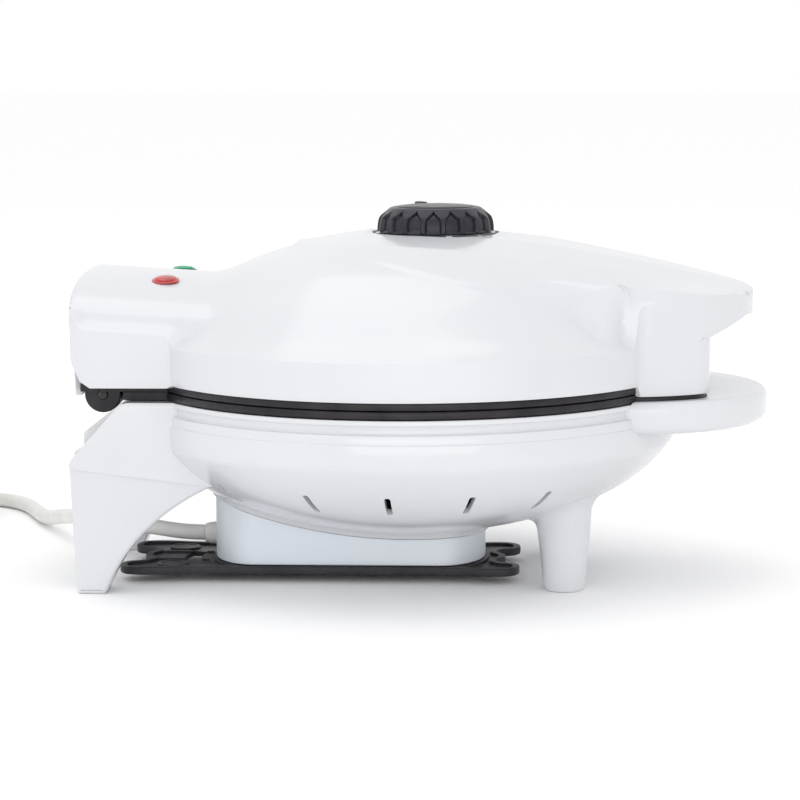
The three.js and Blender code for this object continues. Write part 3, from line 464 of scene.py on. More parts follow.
def makeLead(s):
    points = toFrame(leadPoints(s))
    data = bpy.data.curves.new("mainsLead", "CURVE")
    data.dimensions, data.bevel_depth = "3D", s["radius"] * millimetre
    data.resolution_u, data.bevel_resolution, data.use_fill_caps = 6, 4, True
    spline = data.splines.new("BEZIER")
    spline.bezier_points.add(len(points) - 1)
    for knot, place in zip(spline.bezier_points, points):
        knot.co = place
        knot.handle_left_type = knot.handle_right_type = "AUTO"
    lead = bpy.data.objects.new("mainsLead", data)
    bpy.context.scene.collection.objects.link(lead)
    data.materials.append(finish["cordSheath"])
    return lead, points


lead, leadLine = makeLead(leadSettings)
bpy.context.view_layer.update()


upwards = np.array((0, 0, 1.0))


def levelDirections(headingDegrees):
    heading = math.radians(headingDegrees)
    return (np.array((math.cos(heading), math.sin(heading), 0)), np.array((-math.sin(heading), math.cos(heading), 0)))


def alongAxis(profile, steps, place, headingDegrees):
    # A turned shape that points along a level heading from its place. The profile is (radius, distance).
    angles = fullTurn(steps)
    ahead, aside = levelDirections(headingDegrees)
    rings = []
    for r, distance in profile:
        r = max(r, onAxis)
        rings.append(np.array(place) + distance * ahead + r * np.cos(angles)[:, None] * aside
                     + r * np.sin(angles)[:, None] * upwards)
    return stackRings(rings)


reliefSettings = {"from": -15.0, "neck": 4.6, "flange": 6.4}


def makeStrainRelief(s, leadInfo):
    neck, flange, end = s["neck"], s["flange"], leadInfo["reliefLong"]
    profile = [(0, s["from"]), (4.2, s["from"]), (neck, -10.6), (flange, -10.5), (flange + 0.2, -10.2),
               (flange + 0.2, -8.7), (flange, -8.5), (neck, -8.4), (neck, 2.3), (5.3, 2.4), (5.6, 2.7), (5.65, 3.2),
               (5.4, 4.0), (5.1, 6.0), (4.8, 8.5), (4.5, end - 1.2), (4.35, end - 0.4), (4.1, end), (0, end)]
    piece = newPiece("strainRelief", *alongAxis(profile, 40, leadInfo["exit"], leadInfo["exitHeading"]), "cordSheath")
    smoothBy(piece, 40)
    return piece


strainRelief = makeStrainRelief(reliefSettings, leadSettings)

plugSettings = {"place": (-294.8, 73.2, 18.6), "heading": -72.0, "grooves": 5, "pinSpread": 9.5, "pinHole": 2.7}


def makePlug(s):
    profile = [(0, 0.0), (4.4, 0.0), (4.7, 0.6)]
    for i in range(s["grooves"]):
        start = 2.2 + i * 3.8
        wide = 4.9 + 0.14 * i
        profile += [(wide, start), (wide + 0.15, start + 1.6), (wide - 0.7, start + 2.0), (wide - 0.7, start + 3.2),
                    (wide + 0.1, start + 3.6)]
    profile += [(5.9, 22.0), (7.4, 24.2), (9.8, 27.0), (12.3, 30.0), (14.4, 33.2), (15.9, 38.0), (16.8, 43.0)]
    for i in range(3):
        start = 44.5 + i * 2.2
        profile += [(17.2 + 0.15 * i, start), (16.7 + 0.15 * i, start + 0.7), (16.8 + 0.15 * i, start + 1.3)]
    profile += [(18.1, 51.6), (18.45, 52.6), (18.5, 64.6), (18.2, 65.6), (17.4, 66.0), (0, 66.0)]
    plug = newPiece("plug", *alongAxis(profile, 72, s["place"], s["heading"]), "cordSheath")
    holes = []
    for side in (-1, 1):
        place = (s["place"][0], s["place"][1], s["place"][2] + side * s["pinSpread"])
        hole = alongAxis([(0, 56.0), (s["pinHole"], 56.0), (s["pinHole"], 70.0), (0, 70.0)], 20, place, s["heading"])
        holes.append(newPiece("pinHole", *hole, "cordSheath"))
    combine(plug, holes, "DIFFERENCE")
    smoothBy(plug, 35)
    return plug


plug = makePlug(plugSettings)

tieSettings = {"angle": 200.0, "wide": 3.2, "thick": 0.7, "tail": 13.0, "endRadius": 0.62}


def makeTie(s, leadInfo):
    # A flat band round all the turns at one place on the coil, with its two ends twisted together.
    radius, cordR = leadInfo["coilRadius"], leadInfo["radius"]
    high = leadInfo["firstLevel"] + leadInfo["pitch"] * leadInfo["turns"] + cordR - 1.2
    t, half = s["thick"], cordR + 0.25
    low = leadInfo["firstLevel"] - cordR - 0.05
    loop = roundCorners([(radius - half, low, 3.4), (radius + half, low, 3.4), (radius + half, high, 3.4),
                         (radius - half, high, 3.4)], 7)
    outer = insetLine(loop, -t)
    ahead, aside = levelDirections(s["angle"])
    centre = np.array((*leadInfo["coilCentre"], 0.0))
    rings = []
    for line, shift in ((loop, -0.5), (loop, 0.5), (outer, 0.5), (outer, -0.5), (loop, -0.5)):
        rings.append(centre + line[:, :1] * ahead + shift * s["wide"] * aside + line[:, 1:] * upwards)
    band = newPiece("cordTie", *stackRings(rings, caps=(False, False)), "tieBlack")
    ends = []
    for turnBy in (0.0, math.pi):
        path = []
        for i in range(22):
            along = i / 21
            twist = turnBy + along * 5.2 * math.pi
            spin = 0.75 * math.sin(math.pi * min(along * 1.25, 1.0)) + (0.3 if along > 0.85 else 0)
            place = centre + (radius + half + t * 0.6) * ahead + (low + high) / 2 * upwards
            place = place + s["tail"] * along * ahead * 0.85
            place = place + spin * (math.cos(twist) * aside + math.sin(twist) * upwards)
            place[2] -= 4.0 * along * along
            path.append(place)
        ends.append(tubePiece("tieEnd", path, s["endRadius"], "tieBlack"))
    combine(band, ends, "UNION")
    smoothBy(band, 40)
    return band


def tubePiece(name, path, radius, finishName, around=8):
    path = np.array(path, float)
    ahead = np.gradient(path, axis=0)
    ahead /= np.linalg.norm(ahead, axis=1, keepdims=True)
    aside = np.cross(ahead, upwards)
    aside /= np.linalg.norm(aside, axis=1, keepdims=True)
    up = np.cross(aside, ahead)
    angles = fullTurn(around)
    rings = [p + radius * (np.cos(angles)[:, None] * a + np.sin(angles)[:, None] * u)
             for p, a, u in zip(path, aside, up)]
    return newPiece(name, *stackRings(rings), finishName)


cordTie = makeTie(tieSettings, leadSettings)

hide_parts("cord_run", "cord_coil", "cord_tail")
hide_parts("cord_gland")
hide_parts("plug_body")
for piece in (lead, strainRelief, plug, cordTie):
    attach(piece, "base")
print("lead, relief, plug and tie ready")


# The lid
lidSettings = {
    "rimRadius": 117.5, "rimLow": 91.5, "wall": 3.2, "topWall": 2.6, "edge": 0.7, "smoothTo": 38.0,
    "dome": [(0, 154.2), (30, 152.3), (56, 146.6), (76.6, 138.6), (92, 128.5), (106.5, 115.6), (115.3, 109.6),
             (117.5, 107.6)],
    "boxHalf": 62.0, "boxRear": -143.0, "boxFront": -60.0, "boxCrease": 118.0, "boxArch": 20.0, "archPower": 1.8,
    "rearRound": 9.0, "rearBulge": 4.0, "boxLow": 90.5,
    "flapLow": 86.0, "flapHalf": 51.8,
    "fanCrown": [(-50, 149.8), (-12, 154.8), (25, 154.6), (60, 151.3), (93, 145), (117, 139.5), (137, 134.4),
                 (144, 132.4), (149, 130.6), (152, 128.6)],
    "fanCreaseY": [(-50, 12), (-12, 46), (25, 49), (60, 44), (93, 40), (117, 34), (137, 23), (149, 10), (152, 3)],
    "fanCreaseZ": [(-50, 149.3), (-12, 150.2), (25, 147.9), (60, 143.6), (93, 139.2), (117, 134.4), (137, 131.4),
                   (149, 129.3), (152, 127.8)],
    "fanEdgeY": [(-50, 19), (-12, 60), (25, 65), (60, 60), (93, 61.6), (117, 56.2), (137, 40.8), (144, 30.6),
                 (149, 18.6), (152, 6)],
    "fanEdgeZ": [(-50, 147.4), (-12, 145.3), (25, 142.5), (60, 136.7), (93, 133.2), (117, 130.9), (137, 128.3),
                 (149, 127.2), (152, 126.6)],
    "fanFootY": [(-50, 22), (-12, 63), (25, 78), (60, 71), (72, 68.8), (91.4, 66.4), (93.2, 63.2), (152, 8)],
    "fanFootZ": [(-50, 146.2), (-12, 143.6), (25, 136.2), (60, 127.3), (72, 121.5), (91.4, 111), (93.2, 108),
                 (152, 106)],
    "blockCentre": 93.0, "blockReach": 59.0, "blockHalf": 62.0, "blockFront": 131.0, "blockLow": 87.2,
    "underLow": 111.0, "underRise": 0.42, "steepest": 7.0, "creaseRound": 1.4,
    "knobX": 11.3, "shaftHole": 4.2, "seatZ": 153.2, "seatRadius": 26.5, "seatBlend": 6.0,
    "rays": 540, "ringsOver": 84,
}


class LidForm:
    def __init__(self, s):
        self.s = s
        self.dome = smoothCurve(s["dome"], flatStart=True)
        self.fan = {k: smoothCurve(s[k]) for k in s if k.startswith("fan")}

    def fanHeight(self, x, y):
        s, inside = self.s, np.clip(x, -50, 152)
        crown, creaseY, creaseZ = (self.fan[k](inside) for k in ("fanCrown", "fanCreaseY", "fanCreaseZ"))
        edgeY, edgeZ = self.fan["fanEdgeY"](inside), self.fan["fanEdgeZ"](inside)
        footY, footZ = self.fan["fanFootY"](inside), self.fan["fanFootZ"](inside)
        footY = np.maximum(footY, edgeY + (edgeZ - footZ) / s["steepest"])
        midY, midZ = creaseY / 2, crown - (crown - creaseZ) * 0.27
        total = 0
        shifts = np.linspace(-1, 1, 7) * s["creaseRound"]
        for shift in shifts:
            a = np.abs(y + shift)
            z = crown + (midZ - crown) * a / midY
            for y0, z0, y1, z1 in ((midY, midZ, creaseY, creaseZ), (creaseY, creaseZ, edgeY, edgeZ),
                                   (edgeY, edgeZ, footY, footZ)):
                z = np.where(a > y0, z0 + (z1 - z0) * (a - y0) / np.maximum(y1 - y0, 0.1), z)
            z = np.where(a > footY, footZ - s["steepest"] * (a - footY), z)
            total = total + z
        return total / len(shifts) - np.clip(-50 - x, 0, None) * 0.9

    def boxHeight(self, x, y):
        s = self.s
        along = np.clip((x - s["boxRear"]) / (s["boxFront"] - s["boxRear"]), 0, 1.3)
        flank, top = 3.2 - 6.0 * along, 0.8 - 5.3 * along
        a, half = np.abs(y), s["boxHalf"] - 0.7
        fall = (1 - np.clip(a / half, 0, 1) ** s["archPower"]) ** (1 / s["archPower"])
        arch = s["boxCrease"] + flank + (s["boxArch"] + top - flank) * fall
        height = arch - s["steepest"] * np.clip(a - half, 0, None)
        wall = s["boxRear"] - s["rearBulge"] * (1 - np.clip(a / half, 0, 1) ** 2)
        back = np.clip((x - wall) / s["rearRound"], 0, 1)
        rear = 121.5 + 18.0 * np.clip(1 - (1 - back) ** 2.6, 0, 1) ** (1 / 2.6)
        rear = np.where(back >= 1, 139.5 + 0.27 * (x - wall - s["rearRound"]), rear)
        return smoothMin(height, rear, 2.0) - np.clip(x - s["boxFront"], 0, None) * 1.5

    def height(self, x, y):
        s = self.s
        r = np.hypot(x, y)
        dome = self.dome(np.clip(r, 0, 117.5)) - np.clip(r - 117.5, 0, None) * 2
        fanWidth = 1.2 + 5.0 * ease(15, 80, x)
        body = smoothMax(dome, self.fanHeight(x, y), fanWidth)
        body = smoothMax(body, self.boxHeight(x, y), 7.0)
        fromKnob = np.hypot(x - s["knobX"], y)
        seat = 1 - ease(s["seatRadius"], s["seatRadius"] + s["seatBlend"], fromKnob)
        return body * (1 - seat) + np.minimum(body, s["seatZ"]) * seat

    def edges(self, angles, bulge):
        # Plan radius of the lid's outside, and of the block under the grip, for each ray.
        s = self.s
        c, n = np.cos(angles), np.sin(angles)
        far = 1e3
        side = s["boxHalf"] / np.maximum(np.abs(n), 1e-4)
        across = np.clip(np.abs(s["boxRear"] * n / np.minimum(c, -0.05)) / s["boxHalf"], 0, 1)
        rear = np.where(c < -0.05, (bulge * (1 - across ** 2) - s["boxRear"]) / np.maximum(-c, 0.05), far)
        box = np.where(c < -0.5, smoothMin(np.minimum(side, far), rear, 5.0), 0)
        reach2, half2 = s["blockReach"] ** 2, s["blockHalf"] ** 2
        qa = c * c / reach2 + n * n / half2
        qb = -2 * s["blockCentre"] * c / reach2
        qc = s["blockCentre"] ** 2 / reach2 - 1
        root = (-qb + np.sqrt(np.clip(qb * qb - 4 * qa * qc, 0, None))) / (2 * qa)
        block = np.where(c > 0.75, np.where(root * c > s["blockCentre"], root, 0), 0)
        rim = np.full_like(angles, s["rimRadius"])
        outside = smoothMax(smoothMax(rim, box, 1.2), block, 1.6)
        front = s["blockFront"] / np.maximum(c, 0.3)
        lower = np.where(block > s["rimRadius"], np.minimum(outside, smoothMin(outside, front, 6.0)), outside)
        return outside, lower, block > s["rimRadius"] + 0.2


def makeLid(s):
    form = LidForm(s)
    angles = fullTurn(s["rays"])
    outside = form.edges(angles, s["rearBulge"])[0]
    flatRear, lower, inBlock = form.edges(angles, 0)
    c, n = np.cos(angles), np.sin(angles)

    def ring(radius, z):
        return np.stack([radius * c, radius * n, z], -1)

    # Rings over the top stand an equal distance apart along each ray's own profile.
    fine = np.linspace(0, 1, 700)
    x, y = np.outer(fine, outside * c), np.outer(fine, outside * n)
    z = form.height(x, y)
    steps = np.hypot(np.diff(fine)[:, None] * outside[None], np.diff(z, axis=0))
    travelled = np.vstack([np.zeros(len(angles)), np.cumsum(steps, 0)])
    rings = []
    for share in np.linspace(0.0, 1, s["ringsOver"]):
        parts = np.array([np.interp(share * travelled[-1, j], travelled[:, j], fine) for j in range(len(angles))])
        rings.append(ring(outside * parts, form.height(outside * parts * c, outside * parts * n)))
    top = rings[-1][:, 2]

    ex, ey = outside * c, outside * n
    bottom = np.where(inBlock, s["blockLow"], s["rimLow"])
    isBox = (c < -0.7) & (outside > s["rimRadius"] + 0.4)
    chamfer = np.interp(ex, [-142.7, -138.2, -136.0], [101.0, 91.2, s["boxLow"]])
    rearWall = np.where(np.abs(ey) < s["flapHalf"], s["flapLow"], chamfer)
    bottom = np.where(isBox, np.where(ex < -136.0, rearWall, s["boxLow"]), bottom)
    isNose = inBlock & (outside - lower > 0.3)
    split = np.where(isNose, s["underLow"] + s["underRise"] * np.clip(ex - s["blockFront"], 0, 20),
                     bottom + 0.55 * (top - bottom))
    under = np.where(isNose, s["underLow"], split)
    edge = s["edge"] # of the small round along lower edges
    for part in np.linspace(0.06, 1, 9):
        wall = outside + (flatRear - outside) * ease(0.2, 0.95, part)
        rings.append(ring(wall - edge * ease(0.9, 1.0, part) * isNose, top + (split - top) * part))
    for part in np.linspace(0, 1, 7)[1:]:
        radius = (outside - edge) * (1 - part) + lower * part
        rings.append(ring(np.where(isNose, radius, flatRear), split + (under - split) * part))
    for part in np.linspace(0, 1, 8)[1:]:
        rings.append(ring(lower - edge * 0.6 * ease(0.88, 1.0, part), under + (bottom - under) * part))
    inner = np.clip(lower - s["wall"], 0, None)
    outerInner = flatRear - s["wall"]
    rings.append(ring(inner + 0.4, bottom))
    innerTop = form.height(outerInner * c, outerInner * n) - 3.4
    innerUnder = np.where(isNose, s["underLow"] + 2.4, bottom + 0.5 * (innerTop - bottom))
    innerSplit = np.where(isNose, split + 2.4, innerUnder)
    innerTop = np.maximum(innerTop, innerSplit + 0.5)
    for part in np.linspace(0.05, 1, 4):
        rings.append(ring(inner, bottom + (innerUnder - bottom) * part))
    rings.append(ring(np.where(isNose, outerInner, inner), innerSplit))
    rings.append(ring(np.where(isNose, outerInner, inner), innerTop))
    for part in np.linspace(1, 0.0, 26)[1:]:
        radius = np.where(isNose, outerInner, inner) * part
        px, py = radius * c, radius * n
        outerHere = form.height(px, py)
        slope = np.abs(form.height(px * 1.01 + 0.01 * c, py * 1.01 + 0.01 * n) - outerHere) / np.maximum(
            radius * 0.01 + 0.01, 1e-3)
        rings.append(ring(radius, outerHere - s["topWall"] * np.sqrt(1 + np.clip(slope, 0, 2.0) ** 2)))
    lidPiece = newPiece("lidShell", *stackRings(rings, caps=(False, False)), "shellWhite")
    holes = [rodPiece("shaftHole", s["shaftHole"], 140, 170, "shellWhite", s["knobX"])]
    combine(lidPiece, holes + lampHoles(), "DIFFERENCE")
    smoothBy(lidPiece, s["smoothTo"])
    return lidPiece, form


lampSettings = {"x": -106.0, "y": 28.5, "tilt": 0.2, "surface": 133.6, "barrel": 4.6, "collar": 6.05, "facets": 12}


def lampPlaced(points, side, s):
    # Lamps stand square to the arched top, one on each side of its crown.
    points = np.array(points, float)
    tilt = -side * s["tilt"]
    y = points[:, 1] * math.cos(tilt) - points[:, 2] * math.sin(tilt)
    z = points[:, 1] * math.sin(tilt) + points[:, 2] * math.cos(tilt)
    return np.stack([points[:, 0] + s["x"], y + side * s["y"], z + s["surface"]], -1)


def lampHoles():
    s = lampSettings
    points, faces = turnedShape([(0, -12), (s["barrel"] + 0.3, -12), (s["barrel"] + 0.3, 12), (0, 12)], 32)
    return [newPiece("lampHole", lampPlaced(points, side, s), faces, "shellWhite") for side in (-1, 1)]


lidShell, lidForm = makeLid(lidSettings)
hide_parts(*(n for n in ("lid_shell", "grip_shell", "grip_underside") if n in nodes))
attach(lidShell, "lid")
print("lid shell made,", len(lidShell.data.polygons), "faces")


def makeLamp(name, side, finishName, s):
    # A faceted cap on a smooth collar.
    rings, smooth, facets = [], 48, s["facets"]
    angles = fullTurn(smooth)
    rows = [(1e-3, -9, 0), (s["barrel"] - 0.4, -9, 0), (s["barrel"], -8.6, 0), (s["barrel"], 0.3, 0),
            (s["collar"] - 0.2, 0.3, 0), (s["collar"], 0.45, 0), (s["collar"], 0.75, 0), (s["collar"] - 0.25, 0.95, 0),
            (5.4, 1.0, 0), (5.2, 1.1, 1), (4.6, 1.75, 1), (3.5, 2.1, 1), (2.0, 2.25, 1), (0.9, 2.3, 1),
            (1e-3, 2.32, 1)]
    wedge = 2 * math.pi / facets
    for r, z, faceted in rows:
        flat = math.cos(wedge / 2) / np.cos((angles % wedge) - wedge / 2) if faceted else 1.0
        rings.append(levelRing(r * flat, z, angles))
    points, faces = stackRings(rings)
    lens = newPiece(name, lampPlaced(points, side, s), faces, finishName)
    smoothBy(lens, 14)
    return lens


for name, side, finishName, node, slotName in (
        ("lampRed", -1, "lensRed", "lamp_lens_red", "red_lens"),
        ("lampGreen", 1, "lensGreen", "lamp_lens_green", "green_lens")):
    lens = makeLamp(name, side, finishName, lampSettings)
    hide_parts(node)
    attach(lens, "lid")
print("lamps made")


# The knob and the scale around it
knobSettings = {
    "x": 11.3, "low": 153.6, "top": 165.9, "boreRadius": 3.3, "ribs": 18, "panelDepth": 1.7, "panelHalf": 7.7,
    "pointerAngle": 113.0, "around": 432,
}


def makeKnob(s):
    around = s["around"]
    angles = fullTurn(around)
    wedge = 2 * math.pi / s["ribs"]
    fromMiddle = np.degrees(np.abs((angles % wedge) - wedge / 2))
    profile = [(24.4, 153.6), (25.5, 153.7), (25.9, 154.1), (25.95, 155.2), (25.85, 156.4), (25.7, 157.6),
               (25.45, 158.8), (25.1, 159.8), (24.6, 160.6), (23.9, 161.3), (22.9, 162.1), (21.9, 162.9),
               (20.9, 163.7), (20.3, 164.2), (19.6, 164.5), (18.9, 164.6), (18.5, 164.55), (18.3, 164.3),
               (18.0, 164.15), (17.6, 164.3), (17.35, 164.75), (17.0, 165.0), (14.0, 165.35), (9.0, 165.7),
               (4.0, 165.85)]
    rings = [levelRing(onAxis, s["low"], angles)]
    for r, z in profile:
        # Each panel is a pentagon: upright sides that lean together above the shoulder.
        half = s["panelHalf"] * (1 - ease(159.4, 163.6, z) * 0.99)
        inPanel = 1 - ease(half - 0.9, half + 0.2, fromMiddle)
        fade = ease(153.7, 154.8, z) * (1 - ease(162.6, 163.8, z))
        radius = r - s["panelDepth"] * inPanel * fade
        rings.append(levelRing(radius, z, angles))
    rings.append(levelRing(onAxis, s["top"], angles))
    points, faces = stackRings(rings)
    points[:, 0] += s["x"]
    body = newPiece("knob", points, faces, "knobBlack")
    ahead, aside = (direction[:2] for direction in levelDirections(s["pointerAngle"]))
    plan = roundCorners([(14.2, -1.7, 1.2), (22.6, -2.1, 1.5), (22.6, 2.1, 1.5), (14.2, 1.7, 1.2)], 5)
    line = np.array([(s["x"], 0)]) + plan[:, :1] * ahead + plan[:, 1:] * aside
    pointer = slabPiece("pointer", line, 161.0, 165.95, "knobBlack", 0.0, 0.7, 4)
    combine(body, [pointer], "UNION")
    hollow = closedTurnedPiece("knobHollow", [(6, 150), (22.4, 150), (21.6, 159.6), (20.5, 160.4), (6, 160.4)], 64,
                               "knobBlack", s["x"])
    bore = rodPiece("knobBore", s["boreRadius"], 150, 162, "knobBlack", s["x"])
    combine(body, [hollow, bore], "DIFFERENCE")
    smoothBy(body, 34)
    return body


knobPiece = makeKnob(knobSettings)
knobPiece.name = "thermostatKnob"
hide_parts("thermostat_knob")
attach(knobPiece, "knob")

scaleSettings = {"radius": 27.6, "wide": 1.3, "arc": 26.0, "step": 32.0, "start": 128.0, "count": 9, "proud": 0.22}


def makeScale(s, form):
    # Plain dashes that follow the lid's surface.
    cells = []
    for i in range(s["count"]):
        long = s["arc"] * (0.35 if i == s["count"] - 1 else 1)
        angles = np.radians(s["start"] + s["step"] * i + np.linspace(0, long, 20))
        swell = 1 + (np.linspace(1.0, 0, 20) if i == 0 else np.zeros(20))
        rows = []
        for side, lift in ((-0.5, -0.4), (-0.5, 1.0), (0.5, 1.0), (0.5, -0.4), (-0.5, -0.4)):
            radius = s["radius"] + side * s["wide"] * (swell if side > 0 else 1.0)
            x, y = knobSettings["x"] + radius * np.cos(angles), radius * np.sin(angles)
            rows.append(np.stack([x, y, form.height(x, y) + lift * s["proud"]], -1))
        rings = np.array(rows[:4]).transpose(1, 0, 2)
        cells.append(stackRings(rings))
    points, faces, base = [], [], 0
    for cellPoints, cellFaces in cells:
        points.append(cellPoints)
        faces += [tuple(i + base for i in f) for f in cellFaces]
        base += len(cellPoints)
    scale = newPiece("dialScale", np.vstack(points), faces, "dialGrey")
    smoothBy(scale, 40)
    return scale


dialScale = makeScale(scaleSettings, lidForm)
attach(dialScale, "lid")
print("knob and scale made")


# The lower shell
shellSettings = {
    "floor": 20.5, "widening": 0.00225, "turnUp": 10.7, "reach": 116.0, "power": 9.0, "wall": 2.5,
    "insideReach": 111.0, "drumMouth": (-2.2, 10.0, 30.0), "deckMouth": ((-119, -52, 70), (-80, 52, 100)),
    "slotX": (-200, -138), "slotZ": (65.6, 69.0), "deckEndFrom": 47.0,
    "bowlSteps": 288, "cutterSteps": 192,
    "deckTop": 84.1, "deckHalf": 52.3, "deckEnd": (51.3, 61.6), "louvreSlot": (12, 28),
    "collarGrow": 1.6, "collarUnderBowl": 3.0, "recessRadius": 116.2, "earRecess": (61.4, 130.0, 95.0, 83.1),
    "footX": 68.7, "footY": 41.0, "legInner": 42.0, "legOuter": 62.3, "legFoot": 58.4, "legRound": 1.8,
    "ventRadius": 100.0, "ventLong": 15.7, "ventWide": 2.6,
    "handleRoot": 100.0, "handleTip": 158.7, "handleHalf": 66.0, "handleLow": 71.2, "handleHigh": 85.2,
    "handleRound": 4.5,
}


def bowlHeight(r, s=shellSettings):
    return s["floor"] + s["widening"] * r * r + s["turnUp"] * (r / s["reach"]) ** s["power"]


def bowlProfile():
    radii = [*np.linspace(1, 90, 26), *np.linspace(92, 117, 22)]
    rise = [(r, bowlHeight(r)) for r in radii]
    return [(0, bowlHeight(0)), *rise, (117.35, 64.2), (117.55, 66), (117.62, 69), (117.6, 73.5), (117.45, 74.0),
            (117.1, 74.3), (117.1, 77.7), (116.9, 78.05), (115.4, 78.35), (115.15, 78.8), (115.15, 81.4),
            (115.35, 81.8), (116.1, 82.0), (116.35, 82.4), (116.3, 83.7), (116.0, 84.1)]


def bowlInside(s):
    # The wall keeps its thickness square to the slope, and thickens towards the rim.
    wall, widening, reach = s["wall"], s["widening"], s["insideReach"]
    rise = [(r, bowlHeight(r) + wall * math.sqrt(1 + (2 * widening * r) ** 2) + 1.2 * (r / reach) ** 8)
            for r in np.linspace(1, reach, 30)]
    return [(0, bowlHeight(0) + wall), *rise, (113.2, 69), (113.4, 74), (113.4, 95), (0, 95)]


def footShape(s, side):
    # The foot's sides flare until they lie along the bowl.
    angles = fullTurn(72)
    plain = [(1e-3, 0.35), (5.9, 0.35), (6.4, 0.0), (7.9, 0.0), (8.5, 0.25), (8.9, 0.9), (9.1, 1.8), (9.7, 7),
             (10.3, 14), (10.9, 20)]
    flare = [(11.9, -4.9), (12.3, -3.3), (12.9, -2.1), (13.6, -1.25), (14.5, -0.6), (15.4, -0.15), (16.1, 0.3),
             (16.5, 1.3)]
    cx, cy = s["footX"], s["footY"] * side
    rings = [levelRing(r, z, angles, cx, cy) for r, z in plain]
    for i, (r, depth) in enumerate(flare):
        x, y = cx + r * np.cos(angles), cy + r * np.sin(angles)
        along = bowlHeight(np.hypot(x, y)) + depth
        rings.append(np.stack([x, y, np.maximum(along, 20.5 + 0.3 * i)], -1))
    rings.append(levelRing(onAxis, bowlHeight(math.hypot(cx, cy)) + 2.2, angles, cx, cy))
    return newPiece("frontFoot", *stackRings(rings), "shellWhite")


def legOutline(inset):
    curve = []
    for t in np.linspace(0, 1, 22):
        start, control, end = np.array((-129.7, 1.3)), np.array((-117.0, 33.0)), np.array((-79.0, 49.5))
        curve.append((1 - t) ** 2 * start + 2 * t * (1 - t) * control + t * t * end)
    toe = roundCorners([(-142.75, 3.5, 0), (-142.5, 0.0, 1.6), (-130.4, 0.0, 1.4), (-129.9, 1.2, 0)], 5)[0:-1]
    rear = roundCorners([(-60, 84.1, 0), (-121.2, 84.1, 3.0), (-144.6, 58.4, 3.0), (-142.75, 3.5, 0)], 6)[:-1]
    line = np.vstack([rear, toe, np.array(curve), [(-60, 54)]])
    return insetLine(line, inset) if inset else line


def legPiece(s, side):
    rings = []
    edge = s["legRound"]
    rows = [(s["legInner"], edge * 0.5), (s["legInner"] + edge * 0.5, 0.0)]
    for t in np.linspace(0, math.pi / 2, 6):
        rows.append((s["legOuter"] - edge * (1 - math.sin(t)), edge * (1 - math.cos(t))))
    for y, inset in rows:
        line = legOutline(inset)
        lean = (s["legOuter"] - s["legFoot"]) * (1 - line[:, 1] / s["deckTop"])
        lean = lean * (y - s["legInner"]) / (s["legOuter"] - s["legInner"])
        rings.append(np.stack([line[:, 0], side * (y - lean), line[:, 1]], -1))
    return newPiece("rearLeg", *stackRings(rings), "shellWhite")


def louvreOutline():
    return roundCorners([(-60, 84.1, 0), (-121.2, 84.1, 1), (-125.2, 76.5, 1), (-127.5, 71.4, 1), (-139.2, 70.7, 1.2),
                         (-139.2, 64, 1), (-143.6, 61.6, 1.2), (-143.6, 56, 0.6), (-145.4, 54.6, 0.8),
                         (-145.4, 50, 1), (-90, 48, 0), (-60, 52, 0)], 5)


def frontPlan(half, frontX, fromX, corner=12.0, reach=59.0, root=93.0):
    # The outline of the block under the grip, cut off at fromX.
    line = [(60, -half), (root, -half)]
    atFront = half * math.sqrt(1 - ((frontX - corner * 0.6 - root) / reach) ** 2)
    side = [(root + reach * math.cos(t), half * math.sin(t)) for t in np.linspace(-math.pi / 2, 0, 60)]
    side = [p for p in side if p[0] < frontX - corner * 0.6]
    line += side
    for t in np.linspace(0, 1, 8):
        start, control, end = ((frontX - corner * 0.6, -atFront), (frontX, -atFront + corner * 0.4),
                               (frontX, -atFront + corner * 1.3))
        line.append(tuple((1 - t) ** 2 * np.array(start) + 2 * t * (1 - t) * np.array(control) + t * t * np.array(end)))
    line += [(x, -y) for x, y in line[::-1]]
    clean = []
    for x, y in line:
        point = (max(x, fromX), y)
        if not clean or math.dist(point, clean[-1]) > 0.05:
            clean.append(point)
    return np.array(clean)


def drumPlan(grow, steps=28):
    half, depth = 28.0 + grow, 20.0 + grow
    rear, front = -68.6, 13.4
    line = [(front + depth * math.cos(t), half * math.sin(t)) for t in np.linspace(-math.pi / 2, math.pi / 2, steps)]
    line += [(rear - depth * math.cos(t), half * math.sin(t)) for t in np.linspace(math.pi / 2, -math.pi / 2, steps)]
    return np.array(line)


def ventCutter(s):
    line = []
    straight = (s["ventLong"] - s["ventWide"]) / 2
    for t in np.linspace(-math.pi / 2, math.pi / 2, 9):
        line.append((straight + s["ventWide"] / 2 * math.cos(t), s["ventWide"] / 2 * math.sin(t)))
    for t in np.linspace(math.pi / 2, 1.5 * math.pi, 9):
        line.append((-straight + s["ventWide"] / 2 * math.cos(t), s["ventWide"] / 2 * math.sin(t)))
    r = s["ventRadius"]
    slope = math.atan((bowlHeight(r + 1) - bowlHeight(r - 1)) / 2)
    rings = []
    for depth in (-6, 6):
        ring = []
        for a, b in line:
            x, z = a * math.cos(slope) - depth * math.sin(slope), a * math.sin(slope) + depth * math.cos(slope)
            ring.append((r + x, b, bowlHeight(r) + z))
        rings.append(ring)
    return atOrigin("ventCutter", *stackRings(rings), "shellWhite")


